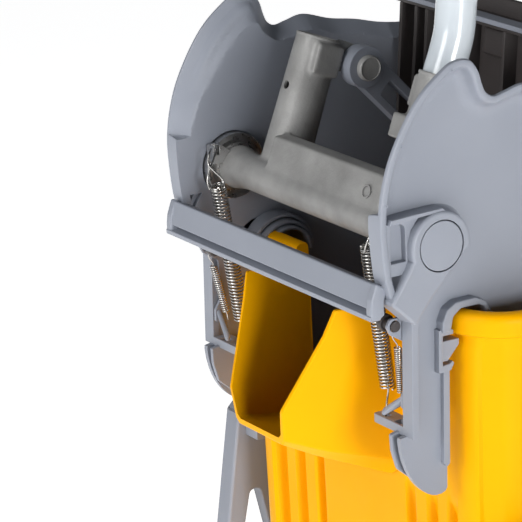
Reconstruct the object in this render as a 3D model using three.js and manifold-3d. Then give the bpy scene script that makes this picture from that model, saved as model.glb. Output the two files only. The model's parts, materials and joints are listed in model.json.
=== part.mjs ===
// Mop bucket with a side-press wringer.
// Millimetres, +Z up. The crossbar and the pouring chute face -Y, the press cavity lies towards +Y.
// The origin is on the floor, under the middle of the whole object.
import * as THREE from 'three';
import { ConvexGeometry } from 'three/addons/geometries/ConvexGeometry.js';
import { mergeVertices } from 'three/addons/utils/BufferGeometryUtils.js';
import Module from 'manifold-3d';

const wasm = await Module();
wasm.setup();

// ---------- driving dimensions ----------
const GAP = 0.3; // clearance between touching pieces

const AXLE_HEIGHT = 470; // press axle above the floor
const AXLE_Y = -223; // press axle from the middle of the object

const PLATE_IN = 129; // side plate, inner face, from the mid-plane
const PLATE_OUT = 133.5; // side plate, outer face
const EDGE_OUT = 144; // outer reach of the plate's edge flange
const BOSS_RADIUS = 25.5;
const BOSS_OUT = 148;
const HUB_IN = 122; // hub disc between these, in a pocket behind the boss
const HUB_OUT = 131.7;
const HUB_RADIUS = 26;
const JOURNAL_RADIUS = 19;

const TUBE_RADIUS = 15; // handle tube
const SOCKET_X = 80; // handle sockets, from the mid-plane
const SOCKET_SET_BACK = 12.8; // socket axis, square to itself behind the press axle
const SOCKET_LEAN = THREE.MathUtils.degToRad(19.7);
const SOCKET_LENGTH = 114.5;

const RIM_TOP = -54; // bucket rim, below the axle
const RIM_HEIGHT = 18;
const TUB_BOTTOM = -372; // underside of the tub, below the axle
const TUB_FRONT = 26; // front wall, behind the axle
const TUB_REAR = 496;
const TUB_HALF_WIDTH = 167;
const TUB_CORNER = 38;
const TUB_WALL = 4;
const TUB_DRAFT = 0.955; // floor outline over rim outline
const RIM_REACH = 9; // how far the rim stands out from the wall

const CASTER_X = 172;
const CASTER_FRONT_Y = 66;
const CASTER_REAR_Y = 456;
const WHEEL_RADIUS = 38;
const CASTER_TRAIL = 26;
const STEM_RADIUS = 9;
const FORK_DROP = 30; // wheel axle below the fork's own origin

// ---------- materials ----------
function standard(color, roughness, metalness = 0) {
  return new THREE.MeshStandardMaterial({ color, roughness, metalness });
}
const greyPlastic = () => standard(0x8f929b, 0.5);
const darkPlastic = () => standard(0x4a4a4e, 0.55);
const yellowPlastic = () => standard(0xffc400, 0.38);
const castAluminium = () => standard(0xa5a3a0, 0.55, 0.8);
const whiteEnamel = () => standard(0xe8edf2, 0.25);
const steel = () => standard(0xc4c4c6, 0.3, 1);
const wheelRubber = () => standard(0x5b5d62, 0.7);

// ---------- solids ----------
function solid(geometry) {
  const bare = geometry.clone();
  bare.deleteAttribute('normal');
  bare.deleteAttribute('uv');
  const merged = mergeVertices(bare, 1e-4);
  return new wasm.Manifold(new wasm.Mesh({
    numProp: 3,
    vertProperties: Float32Array.from(merged.attributes.position.array),
    triVerts: Uint32Array.from(merged.index.array),
  }));
}

function join(...pieces) {
  return pieces.reduce((whole, piece) => whole.add(piece));
}

function cut(whole, ...holes) {
  return holes.reduce((left, hole) => left.subtract(hole), whole);
}

function box(x0, x1, y0, y1, z0, z1) {
  const geometry = new THREE.BoxGeometry(x1 - x0, y1 - y0, z1 - z0);
  geometry.translate((x0 + x1) / 2, (y0 + y1) / 2, (z0 + z1) / 2);
  return solid(geometry);
}

function outline(points) {
  return new THREE.Shape(points.map(([a, b]) => new THREE.Vector2(a, b)));
}

// Extrudes a Y,Z outline from x0 to x1.
function slabX(shape, x0, x1, curveSegments = 10) {
  const geometry = new THREE.ExtrudeGeometry(shape, { depth: x1 - x0, bevelEnabled: false, curveSegments });
  geometry.applyMatrix4(new THREE.Matrix4().makeBasis(
    new THREE.Vector3(0, 1, 0), new THREE.Vector3(0, 0, 1), new THREE.Vector3(1, 0, 0)));
  geometry.translate(x0, 0, 0);
  return solid(geometry);
}

// Extrudes an X,Y outline from z0 to z1, shrunk towards the point (0, centreY) at its foot.
function slabZ(shape, z0, z1, footScale = 1, centreY = 0, curveSegments = 8) {
  const geometry = new THREE.ExtrudeGeometry(shape, { depth: z1 - z0, bevelEnabled: false, curveSegments });
  const position = geometry.attributes.position;
  for (let i = 0; i < position.count; i += 1) {
    const share = position.getZ(i) / (z1 - z0);
    const scale = footScale + (1 - footScale) * share;
    position.setX(i, position.getX(i) * scale);
    position.setY(i, centreY + (position.getY(i) - centreY) * scale);
  }
  geometry.translate(0, 0, z0);
  return solid(geometry);
}

function rodX(radius, x0, x1, y, z, segments = 32) {
  const geometry = new THREE.CylinderGeometry(radius, radius, x1 - x0, segments);
  geometry.rotateZ(Math.PI / 2);
  geometry.translate((x0 + x1) / 2, y, z);
  return solid(geometry);
}

function rodZ(radius, z0, z1, x, y, segments = 32) {
  const geometry = new THREE.CylinderGeometry(radius, radius, z1 - z0, segments);
  geometry.rotateX(Math.PI / 2);
  geometry.translate(x, y, (z0 + z1) / 2);
  return solid(geometry);
}

// A round bar or tapered cone between two points.
function bar(from, to, radiusFrom, radiusTo = radiusFrom, segments = 32) {
  const start = new THREE.Vector3(...from);
  const end = new THREE.Vector3(...to);
  const length = start.distanceTo(end);
  const geometry = new THREE.CylinderGeometry(radiusTo, radiusFrom, length, segments);
  const turn = new THREE.Quaternion().setFromUnitVectors(
    new THREE.Vector3(0, 1, 0), end.clone().sub(start).normalize());
  geometry.applyQuaternion(turn);
  geometry.translate(...start.add(end).multiplyScalar(0.5).toArray());
  return solid(geometry);
}

function roundedRectangle(x0, x1, y0, y1, radius) {
  const shape = new THREE.Shape();
  shape.moveTo(x0 + radius, y0);
  shape.lineTo(x1 - radius, y0);
  shape.absarc(x1 - radius, y0 + radius, radius, -Math.PI / 2, 0);
  shape.lineTo(x1, y1 - radius);
  shape.absarc(x1 - radius, y1 - radius, radius, 0, Math.PI / 2);
  shape.lineTo(x0 + radius, y1);
  shape.absarc(x0 + radius, y1 - radius, radius, Math.PI / 2, Math.PI);
  shape.lineTo(x0, y0 + radius);
  shape.absarc(x0 + radius, y0 + radius, radius, Math.PI, Math.PI * 1.5);
  return shape;
}

function hull(points) {
  return solid(new ConvexGeometry(points.map((point) => new THREE.Vector3(...point))));
}

function mirrored(piece) {
  return piece.mirror([1, 0, 0]);
}

function toGeometry(manifold) {
  const mesh = manifold.getMesh();
  const geometry = new THREE.BufferGeometry();
  geometry.setAttribute('position', new THREE.BufferAttribute(mesh.vertProperties, 3));
  geometry.setIndex(new THREE.BufferAttribute(mesh.triVerts, 1));
  geometry.computeVertexNormals();
  return geometry;
}

function add(group, name, manifold, material) {
  const mesh = new THREE.Mesh(toGeometry(manifold), material);
  mesh.name = name;
  group.add(mesh);
  return mesh;
}

// Adds a right piece and its mirror image as two nodes.
function addPair(group, name, manifold, material) {
  add(group, `right_${name}`, manifold, material());
  add(group, `left_${name}`, mirrored(manifold), material());
}

// ---------- bucket ----------
// The tub's plan outline at the rim, moved inwards by the inset.
function tubOutline(inset) {
  const half = TUB_HALF_WIDTH - inset;
  const front = TUB_FRONT + inset;
  const rear = TUB_REAR - inset;
  return roundedRectangle(-half, half, front, rear, TUB_CORNER - inset);
}

const tubCentreY = (TUB_FRONT + TUB_REAR) / 2;
const FLUTES = [[58, 68], [86, 98], [114, 126]]; // grooves in the front wall, from the mid-plane
const FLUTE_TOP = -214;
const FLUTE_DEPTH = 3;
const CHUTE_REAR = TUB_FRONT + 2; // the chute's sides end inside the front wall

const CHUTE_LIP = [[32, -62, -172], [36, -66, -144], [62, -34, RIM_TOP]];
const CHUTE_ROOT = [[72, CHUTE_REAR, RIM_TOP], [72, CHUTE_REAR, -150], [66, CHUTE_REAR, -196],
  [40, CHUTE_REAR, -212]];

function bothSides(points) {
  return points.flatMap(([x, y, z]) => [[x, y, z], [-x, y, z]]);
}

function chuteOuter() {
  return hull(bothSides([...CHUTE_LIP, ...CHUTE_ROOT]));
}

// The hollow of the chute: the inner sides run from the mouth into the tub, and a prism opens the mouth.
const MOUTH_TOP = RIM_TOP + 14;
const HOLLOW_REAR = TUB_FRONT + 8;

function chuteInner() {
  const mouth = [[28, -60, -167], [32, -64, -144], [58, -32, RIM_TOP], [58, -32, MOUTH_TOP]];
  const root = [[68, HOLLOW_REAR, RIM_TOP], [68, HOLLOW_REAR, MOUTH_TOP], [68, HOLLOW_REAR, -148],
    [62, HOLLOW_REAR, -190], [38, HOLLOW_REAR, -203]];
  return hull(bothSides([...mouth, ...root]));
}

function chuteMouth() {
  const half = [[28, -167], [32, -144], [58, RIM_TOP], [58, MOUTH_TOP]];
  const left = half.map(([x, z]) => [-x, z]).reverse();
  const opening = outline([...half, ...left]);
  const geometry = new THREE.ExtrudeGeometry(opening, { depth: 72, bevelEnabled: false });
  geometry.rotateX(Math.PI / 2);
  geometry.translate(0, -28, 0);
  return solid(geometry);
}

function bucketTub() {
  let tub = slabZ(tubOutline(0), TUB_BOTTOM, RIM_TOP, TUB_DRAFT, tubCentreY);
  const rim = slabZ(tubOutline(-RIM_REACH), RIM_TOP - RIM_HEIGHT, RIM_TOP);
  tub = join(tub, rim, chuteOuter());
  const hollow = slabZ(tubOutline(TUB_WALL), TUB_BOTTOM + TUB_WALL, RIM_TOP + 1, TUB_DRAFT, tubCentreY);
  tub = cut(tub, hollow, chuteInner(), chuteMouth());
  for (const [x0, x1] of FLUTES) {
    for (const side of [-1, 1]) {
      const low = Math.min(side * x0, side * x1);
      const high = Math.max(side * x0, side * x1);
      const depth = TUB_FRONT + FLUTE_DEPTH;
      const foot = TUB_BOTTOM - 1;
      const groove = hull([
        [low, 0, FLUTE_TOP], [high, 0, FLUTE_TOP],
        [low, depth - 1, FLUTE_TOP], [high, depth - 1, FLUTE_TOP],
        [low, 0, foot], [high, 0, foot], [low, depth + 9, foot], [high, depth + 9, foot]]);
      tub = cut(tub, groove);
    }
  }
  return tub;
}

// ---------- side plates ----------
// Ear, top edge and rear edge of the side plate; the notch behind the ear clears the press axle's cover.
const PLATE_TOP = [[-24, -54], [-42, -33], [-46, -19], [-49, 4], [-50, 26], [-47, 48], [-40, 70], [-27, 94],
  [-13, 112], [6, 127], [22, 131], [30, 129], [37, 119], [40, 109], [43, 103], [50, 101], [60, 104],
  [77, 106], [102, 99], [126, 95], [165, 87], [340, 80], [352, 72]];
const PLATE_REAR = [[352, -46], [318, -60], [200, -186], [60, -186], [46, -172], [46, -56]];
const HOOK_INNER = [[44, -60], [40, -52.5], [17, -52.5], [12, -58], [12, -68]];
const SADDLE = [31, -66]; // middle of the arch that bridges the tub's front wall, inside the plate
const LEG_EDGE = -21.5; // front edge of the plate's leg
const LEG_FRONT = [[14, -98], [14, -190], [8, -193.7], [-4, -190.8], [-15.6, -179.6], [-24, -162.6],
  [-27, -144], [LEG_EDGE, -143], [LEG_EDGE, -56]];
const SADDLES = [[30.5, 27, 114], [26, 22.8, 108], [22, 18.8, 103]]; // outer and inner radius, reach in X

function arcPoints(radius, from, to) {
  const steps = 8;
  const [y, z] = SADDLE;
  return Array.from({ length: steps + 1 }, (_, i) => {
    const angle = from + ((to - from) * i) / steps;
    return [y + radius * Math.cos(angle), z + radius * Math.sin(angle)];
  });
}

// The leg: a raised front edge, a rail behind, an open frame at the rim and a guard inside the foot.
function legDetails() {
  const edge = outline([[LEG_EDGE, -56], [LEG_EDGE, -143.5], [-16, -143.5], [-16, -58]]);
  const channel = slabX(edge, PLATE_IN, 141);
  const rail = box(PLATE_OUT - 1, 137.6, 8.4, 13.9, -171, -97);
  const frame = slabX(outline([[3.2, -66], [14, -67], [14, -71], [6.8, -71], [6.8, -93.4], [14, -92.8],
    [14, -98], [3.2, -99]]), PLATE_OUT - 1, 139.4);
  const block = slabX(outline([[6, -75.5], [22, -75.5], [22, -80], [12, -91], [6, -91]]), PLATE_IN, 138);
  const foot = outline([[-28, -144.2], [-27, -158], [-20, -176], [2, -180], [4, -144.2]]);
  const guard = slabX(foot, 119.8, 123.6);
  const spacer = slabX(outline([[-17, -144.2], [-16, -166], [0, -172], [3, -144.2]]), 123, PLATE_IN + 1);
  return [channel, rail, frame, block, guard, spacer];
}

function sidePlate() {
  const sheetOuter = outline([...PLATE_TOP, ...PLATE_REAR, ...HOOK_INNER, ...LEG_FRONT]);
  const sheet = slabX(sheetOuter, PLATE_IN, PLATE_OUT);
  const flangeOuter = outline([...PLATE_TOP, [346, 66], [165, 80], [126, 88], [102, 92], [77, 99], [60, 97],
    [48, 94], [36, 101], [29, 121], [21, 124], [9, 120], [-8, 107], [-21, 90], [-34, 67], [-41, 46],
    [-44, 26], [-43, 4], [-40, -19], [-36, -30], [-20, -48]]);
  const flange = slabX(flangeOuter, PLATE_OUT - 1, EDGE_OUT);
  const boss = rodX(BOSS_RADIUS, PLATE_IN, BOSS_OUT, 0, 0, 40);
  const fin = slabX(outline([[-42, 22], [-40, 28], [6, 27], [6, 21]]), PLATE_OUT - 1, BOSS_OUT - 2);
  const arm = slabX(outline([[-25, -8], [-42, -33], [-24, -54], [-9, -38], [16, -16], [0, 0]]),
    PLATE_OUT - 1, EDGE_OUT + 2);
  const rearRail = slabX(outline([[344, -44], [352, -46], [352, 72], [344, 74]]), PLATE_OUT - 1, EDGE_OUT);
  const hookBand = slabX(outline([[6, -67], [6, -56], [13, -47], [34, -46], [45, -50], [50, -60],
    ...HOOK_INNER]), PLATE_IN, EDGE_OUT - 2);
  const saddles = SADDLES.map(([outer, inner, reach]) => {
    const arch = arcPoints(outer, 0, Math.PI).concat(arcPoints(inner, Math.PI, 0));
    return slabX(outline(arch), reach, PLATE_IN + 1);
  });
  const whole = join(sheet, ...legDetails(), flange, boss, fin, arm, rearRail, hookBand, ...saddles);
  const bore = rodX(JOURNAL_RADIUS + GAP, PLATE_IN - 1, BOSS_OUT + 1, 0, 0, 40);
  const pocket = rodX(HUB_RADIUS + 1, PLATE_IN - 2, HUB_OUT + GAP, 0, 0, 40);
  return cut(whole, bore, pocket);
}

// ---------- crossbar ----------
const CROSSBAR_END = 139;

function crossbar() {
  const section = outline([[-50.6, -21.7], [-40, -25.7], [-38, -29.7], [-43.4, -31.7], [-44, -41],
    [-43.6, -45.4], [-49, -48.8], [-55.4, -48.6], [-55.9, -44.8], [-47.6, -43.6], [-47.6, -41.6],
    [-54.8, -40.1]]);
  const tab = outline([[-50.6, -21.7], [-48.5, -22.5], [-48.5, -48], [-55, -48], [-55.4, -40.1]]);
  return join(slabX(section, -PLATE_IN + GAP, PLATE_IN - GAP), slabX(tab, -CROSSBAR_END, CROSSBAR_END));
}

// ---------- press ----------
const REAR_PLATE_FOOT = [180, -168];
const REAR_PLATE_TOP = [322, 70];
const REAR_PLATE_THICKNESS = 6;

function rearPlate() {
  const [y0, z0] = REAR_PLATE_FOOT;
  const [y1, z1] = REAR_PLATE_TOP;
  const half = PLATE_IN - GAP;
  let plate = slabX(outline([[y0, z0], [y1, z1], [y1 + 14, z1], [y1 + 14, z1 - 6],
    [y1 + 4, z1 - 6], [y0 + 8, z0]]), -half, half);
  const rows = 5;
  const columns = 7;
  const lean = Math.atan2(z1 - z0, y1 - y0);
  for (let row = 0; row < rows; row += 1) {
    const share = 0.12 + (0.74 * row) / (rows - 1);
    const y = y0 + (y1 - y0) * share;
    const z = z0 + (z1 - z0) * share;
    for (let column = 0; column < columns; column += 1) {
      const x = -102 + (204 * column) / (columns - 1);
      const reach = 14;
      const out = [-Math.sin(lean) * reach, Math.cos(lean) * reach];
      plate = cut(plate, bar([x, y - out[0], z - out[1]], [x, y + out[0], z + out[1]], 5, 5, 8));
    }
  }
  return plate;
}

function strainerFloor() {
  const half = PLATE_IN - GAP;
  let floor = slabX(outline([[62, -182], [198, -182], [166, -174.5], [62, -174.5]]), -half, half);
  for (let column = 0; column < 9; column += 1) {
    const x = -104 + 26 * column;
    floor = cut(floor, box(x - 4, x + 4, 78, 96, -190, -170));
    floor = cut(floor, box(x - 4, x + 4, 126, 146, -190, -170));
  }
  return floor;
}

const JAW_HINGE = [150, -160];
const JAW_TOP = [170, 115];
const JAW_HALF_WIDTH = 126;
const JAW_RIBS = [-118, -98, -84, -30, 16, 84, 98, 118];
const ROD_RADIUS = 6;
const LINK_END = [145, 10];
const LINK_MIDDLE = 59.5; // link arms, from the mid-plane
const LINK_SLOT = 5.5; // play of the link rod in the jaw's ear, taken up as the press closes

function movingJaw() {
  const [hy, hz] = JAW_HINGE;
  const [ty, tz] = JAW_TOP;
  const panel = slabX(outline([[hy - 3, hz], [ty - 3, tz - 2], [ty + 3, tz - 2], [hy + 3, hz]]),
    -JAW_HALF_WIDTH, JAW_HALF_WIDTH);
  const topBar = slabX(outline([[ty - 16, tz - 6], [ty - 16, tz], [ty + 7, tz], [ty + 7, tz - 10],
    [ty, tz - 10], [ty, tz - 6]]), -JAW_HALF_WIDTH, JAW_HALF_WIDTH);
  let jaw = join(panel, topBar, rodX(13, -JAW_HALF_WIDTH, JAW_HALF_WIDTH, hy, hz, 24));
  for (const x of JAW_RIBS) {
    jaw = join(jaw, slabX(outline([[hy, hz + 8], [hy - 10, hz + 20], [ty - 16, tz - 6], [ty, tz - 6]]),
      x - 2, x + 2));
  }
  const [ly, lz] = LINK_END;
  for (const x of [-LINK_MIDDLE, LINK_MIDDLE]) {
    for (const ear of [-11, 11]) {
      jaw = join(jaw, slabX(outline([[ly + 16, lz + 26], [ly - 8, lz + 17], [ly - 16, lz],
        [ly - 8, lz - 18], [ly + 14, lz - 26]]), x + ear - 3, x + ear + 3));
    }
  }
  for (const x of [-LINK_MIDDLE, LINK_MIDDLE]) {
    jaw = cut(jaw, box(x - 7.5, x + 7.5, ly - 5, ly + 32, lz - 22, lz + 20));
  }
  const rodPlay = rodX(ROD_RADIUS + LINK_SLOT, -80, 80, ...LINK_END, 24);
  jaw = cut(jaw, rodPlay, rodX(ROD_RADIUS + GAP, -130, 130, hy, hz, 24));
  return jaw;
}

// ---------- handle ----------
const HANDLE_Y = 64; // upright part of the handle, behind the axle
const HANDLE_TOP = 470;
const GRIP_FOOT = 352;
const GRIP_RADIUS = 18.5;
const SOCKET_DIR = [Math.sin(SOCKET_LEAN), Math.cos(SOCKET_LEAN)];

function alongSocket(x, distance) {
  const [across, up] = SOCKET_DIR;
  return [x, across * distance + up * SOCKET_SET_BACK, up * distance - across * SOCKET_SET_BACK];
}

function handleCurve() {
  const points = [alongSocket(SOCKET_X, 24), alongSocket(SOCKET_X, 50), alongSocket(SOCKET_X, 76),
    alongSocket(SOCKET_X, 100), alongSocket(SOCKET_X, 116), [SOCKET_X, 56.5, 119], [SOCKET_X, 61, 134],
    [SOCKET_X, HANDLE_Y - 1, 152], [SOCKET_X, HANDLE_Y, 172], [SOCKET_X, HANDLE_Y, 225],
    [SOCKET_X, HANDLE_Y, 330], [SOCKET_X, HANDLE_Y, HANDLE_TOP]];
  const places = points.map((point) => new THREE.Vector3(...point));
  return new THREE.CatmullRomCurve3(places, false, 'centripetal');
}

function circleShape(radius) {
  const shape = new THREE.Shape();
  shape.absarc(0, 0, radius, 0, Math.PI * 2);
  return shape;
}

function handleTube() {
  return solid(new THREE.ExtrudeGeometry(circleShape(TUBE_RADIUS), {
    extrudePath: handleCurve(), steps: 26, curveSegments: 10, bevelEnabled: false,
  }));
}

const LINK_CROWN = [76, 80]; // pin of the link on the socket's lug
const LINK_X = [LINK_MIDDLE - 7, LINK_MIDDLE + 7]; // link arm between these, from the mid-plane
const LUG_IN = LINK_X[1] + 0.8;
const LUG_OUT = LUG_IN + 6.7;
const PIN_RADIUS = 6;
const WEB_X = [-68, 80];

function axleCasting() {
  const core = rodX(14, -121, 121, 0, 0, 32);
  const ends = [bar([96, 0, 0], [121, 0, 0], 14, 17), bar([-96, 0, 0], [-121, 0, 0], 14, 17)];
  const sockets = [-1, 1].map((side) => bar(
    alongSocket(side * SOCKET_X, -4), alongSocket(side * SOCKET_X, SOCKET_LENGTH), 19, 17.4));
  const lugs = [-1, 1].map((side) => {
    const low = side < 0 ? -LUG_OUT : LUG_IN;
    const lug = outline([[52, 104], [62, 101], [84, 92], [90, 80], [84, 70], [62, 76], [46, 76], [44, 96]]);
    return slabX(lug, low, low + LUG_OUT - LUG_IN);
  });
  const web = slabX(outline([[-7, 11], [2, 35], [13, 35], [14, 6]]), ...WEB_X);
  let casting = join(core, ...ends, ...sockets, ...lugs, web);
  for (const side of [-1, 1]) {
    casting = cut(casting, bar(alongSocket(side * SOCKET_X, 22),
      alongSocket(side * SOCKET_X, SOCKET_LENGTH + 2), TUBE_RADIUS + GAP));
    const hole = side < 0 ? [-75, -66] : [66, 75];
    casting = cut(casting, rodX(PIN_RADIUS + GAP, ...hole, ...LINK_CROWN, 20));
    casting = cut(casting, rodX(7, side < 0 ? -123 : 110, side < 0 ? -110 : 123, 0, 0, 24));
  }
  return casting;
}

// ---------- links ----------
function linkArm() {
  const [py, pz] = LINK_CROWN;
  const [ey, ez] = LINK_END;
  const hub = rodX(16.5, LINK_X[0], LINK_X[1], py, pz, 28);
  const foot = rodX(13, LINK_X[0], LINK_X[1], ey, ez, 24);
  const web = slabX(outline([[py - 8, pz - 14], [ey - 11, ez - 7], [ey + 6, ez + 12], [py + 15, pz + 7]]),
    LINK_X[0], LINK_X[1]);
  const pocket = slabX(outline([[py + 9, pz - 22], [ey - 16, ez + 11], [ey - 8, ez + 20], [py + 19, pz - 9]]),
    LINK_X[0] - 1, LINK_X[1] - 4);
  const pinHole = rodX(PIN_RADIUS + GAP, LINK_X[0] - 1, LINK_X[1] + 1, py, pz, 20);
  const rodHole = rodX(ROD_RADIUS + GAP, LINK_X[0] - 1, LINK_X[1] + 1, ey, ez, 20);
  return cut(join(hub, foot, web), pocket, pinHole, rodHole);
}

// ---------- latch and springs ----------
const LATCH_PIVOT = [-27, -60];
const PIVOT_RADIUS = 4;

const LATCH_IN = 124.8; // the lever swings between these, just inside the side plate
const LATCH_OUT = 127.6;

function latchLever() {
  const crank = slabX(outline([[-34, -60], [-31, -54], [-23, -54], [-18, -60], [-11, -75.5], [22, -75.5],
    [22, -80], [12, -91], [-4, -91], [-6, -108], [-13, -124], [-21, -124], [-21, -114], [-15, -104],
    [-17.5, -74], [-31, -66]]), LATCH_IN, LATCH_OUT);
  const finger = bar([106.5, -22, -131], [125.6, -17, -117.4], 2.6, 2.6, 12);
  return cut(join(crank, finger), rodX(PIVOT_RADIUS + GAP, 120, 130, ...LATCH_PIVOT, 20));
}

function latchPivot() {
  return join(rodX(PIVOT_RADIUS, 117, PLATE_IN - GAP, ...LATCH_PIVOT, 20),
    rodX(6.5, 112, 118, ...LATCH_PIVOT, 20));
}

const ANCHOR_IN = 90.5;
const ANCHOR_Z = [-143.6, -137];

function springAnchor() {
  const shelf = box(ANCHOR_IN, PLATE_IN - GAP, LEG_EDGE, -7, ...ANCHOR_Z);
  const wireHole = box(97, 103, -18.8, -13.4, -150, -130);
  const outerHole = box(114.5, 122.5, -19.5, -13, -150, -130);
  return cut(shelf, wireHole, outerHole);
}

function bigSpring() {
  return bar([100.8, -30.8, 2], [98.5, -13.5, -131], 5.5, 5.5, 12);
}

function smallSpring() {
  return bar([121.2, -20.6, -77], [117.2, -15, -115], 3, 3, 10);
}

// ---------- running gear ----------
const FOOT_IN = TUB_HALF_WIDTH * TUB_DRAFT + 1; // the feet stay beside the tub's underside

function outrigger(flip) {
  const points = [[33, -214], [40, -203], [58, -203], [66, -214], [96, -374], [90, -382], [14, -382],
    [12, -374]];
  const window = [[42, -288], [51, -288], [66, -356], [30, -356]];
  const place = (list) => (flip ? list.map(([y, z]) => [2 * tubCentreY - y, z]).reverse() : list);
  const plate = (list, x0, x1) => slabX(outline(place(list)), x0, x1);
  const web = plate(points, 178, 190);
  const foot = [[14, -382], [96, -382], [96, TUB_BOTTOM - GAP], [14, TUB_BOTTOM - GAP]];
  const shelf = plate(foot, FOOT_IN, 204);
  const padAt = (depth, low, high) => {
    const reach = ([y, z]) => {
      const share = (z - TUB_BOTTOM) / (RIM_TOP - TUB_BOTTOM);
      return [TUB_HALF_WIDTH * (TUB_DRAFT + (1 - TUB_DRAFT) * share) + GAP, y, z];
    };
    const corners = place([[depth, low], [depth + 18, low], [depth + 18, high], [depth, high]]);
    return hull([...corners.map(reach), ...corners.map(([y, z]) => [180, y, z])]);
  };
  const pads = [padAt(66, -372, -350), padAt(40, -232, -208)];
  const flange = plate([[33, -214], [40, -203], [40, -214], [20, -374], [12, -374]], 177.5, 198);
  const stemY = flip ? CASTER_REAR_Y : CASTER_FRONT_Y;
  const stemBore = rodZ(STEM_RADIUS + GAP, -400, -350, CASTER_X, stemY, 24);
  return cut(join(web, shelf, flange, ...pads), plate(window, 170, 200), stemBore);
}

function casterFork() {
  const side = outline([[-20, 20], [20, 20], [20, 8], [CASTER_TRAIL + 9, -FORK_DROP], [CASTER_TRAIL, -39],
    [CASTER_TRAIL - 9, -FORK_DROP], [-20, 8]]);
  const cheeks = join(slabX(side, 14.5, 18), slabX(side, -18, -14.5));
  const crown = box(-18, 18, -20, 20, 15.5, 19.5);
  const stem = rodZ(STEM_RADIUS, 19, 36, 0, 0, 24);
  return cut(join(cheeks, crown, stem), rodX(4 + GAP, -20, 20, CASTER_TRAIL, -FORK_DROP, 16));
}

function wheel() {
  const half = [[4.3, -11], [14, -11], [16, -6], [26, -6], [28, -12], [WHEEL_RADIUS - 3, -13],
    [WHEEL_RADIUS, -8]];
  const otherHalf = half.map(([radius, x]) => [radius, -x]).reverse();
  const profile = [...half, ...otherHalf, half[0]].map(([radius, x]) => new THREE.Vector2(radius, x));
  const geometry = new THREE.LatheGeometry(profile, 24);
  geometry.rotateZ(-Math.PI / 2);
  return solid(geometry);
}

// ---------- assembly ----------
const product = new THREE.Group();

const wringer = new THREE.Group();
wringer.position.set(0, AXLE_Y, AXLE_HEIGHT);
product.add(wringer);

add(wringer, 'bucket_tub', bucketTub(), yellowPlastic());
addPair(wringer, 'side_plate', sidePlate(), greyPlastic);
add(wringer, 'front_crossbar', crossbar(), greyPlastic());
add(wringer, 'rear_press_plate', rearPlate(), greyPlastic());
add(wringer, 'strainer_floor', strainerFloor(), greyPlastic());
addPair(wringer, 'spring_anchor', springAnchor(), greyPlastic);
addPair(wringer, 'latch_lever', latchLever(), greyPlastic);
addPair(wringer, 'latch_pivot', latchPivot(), darkPlastic);
addPair(wringer, 'return_spring', bigSpring(), steel);
addPair(wringer, 'latch_spring', smallSpring(), steel);

add(wringer, 'moving_jaw', movingJaw(), darkPlastic());
add(wringer, 'jaw_hinge_rod', rodX(ROD_RADIUS, -PLATE_IN + GAP, PLATE_IN - GAP, ...JAW_HINGE, 24), steel());
addPair(wringer, 'link_arm', linkArm(), greyPlastic);
add(wringer, 'link_rod', rodX(ROD_RADIUS, -74, 74, ...LINK_END, 20), steel());

add(wringer, 'press_axle', axleCasting(), castAluminium());
addPair(wringer, 'hub_disc', cut(rodX(HUB_RADIUS, HUB_IN, HUB_OUT, 0, 0, 40),
  box(120, 135, -26, -20, 14, 22)), steel);
addPair(wringer, 'axle_journal', rodX(JOURNAL_RADIUS, HUB_OUT + GAP, BOSS_OUT + 1, 0, 0, 40), greyPlastic);
addPair(wringer, 'link_pin', join(rodX(PIN_RADIUS, LINK_X[0] - 2, LINK_X[1] + 7.5, ...LINK_CROWN, 20),
  rodX(10, LINK_X[0] - 5, LINK_X[0] - GAP, ...LINK_CROWN, 24)), castAluminium);
add(wringer, 'handle_tube', handleTube(), whiteEnamel());
add(wringer, 'handle_grip', cut(rodZ(GRIP_RADIUS, GRIP_FOOT, HANDLE_TOP + 6, SOCKET_X, HANDLE_Y),
  rodZ(TUBE_RADIUS + GAP, GRIP_FOOT - 10, HANDLE_TOP + 0.4, SOCKET_X, HANDLE_Y)), darkPlastic());

for (const [end, flip] of [['front', false], ['rear', true]]) {
  const bracket = outrigger(flip);
  addPair(wringer, `${end}_outrigger`, bracket, greyPlastic);
  for (const side of [-1, 1]) {
    const name = `${end}_${side < 0 ? 'left' : 'right'}`;
    const caster = new THREE.Group();
    const casterY = AXLE_Y + (flip ? CASTER_REAR_Y : CASTER_FRONT_Y);
    caster.position.set(side * CASTER_X, casterY, WHEEL_RADIUS + FORK_DROP);
    caster.rotation.z = flip ? Math.PI : 0;
    product.add(caster);
    add(caster, `${name}_caster_fork`, casterFork(), steel());
    const running = new THREE.Group();
    running.position.set(0, CASTER_TRAIL, -FORK_DROP);
    caster.add(running);
    add(running, `${name}_wheel`, wheel(), wheelRubber());
    add(running, `${name}_wheel_axle`, rodX(4, -19.5, 19.5, 0, 0, 16), steel());
  }
}

export default product;
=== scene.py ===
# Looks for the wheeled mop bucket with a side-press wringer.
# Shapes are drawn in millimetres about the press axle and then put in place in the row frame.
import json
import math

import bmesh
import bpy
from mathutils import Matrix, Vector
from mathutils.geometry import delaunay_2d_cdt


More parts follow.
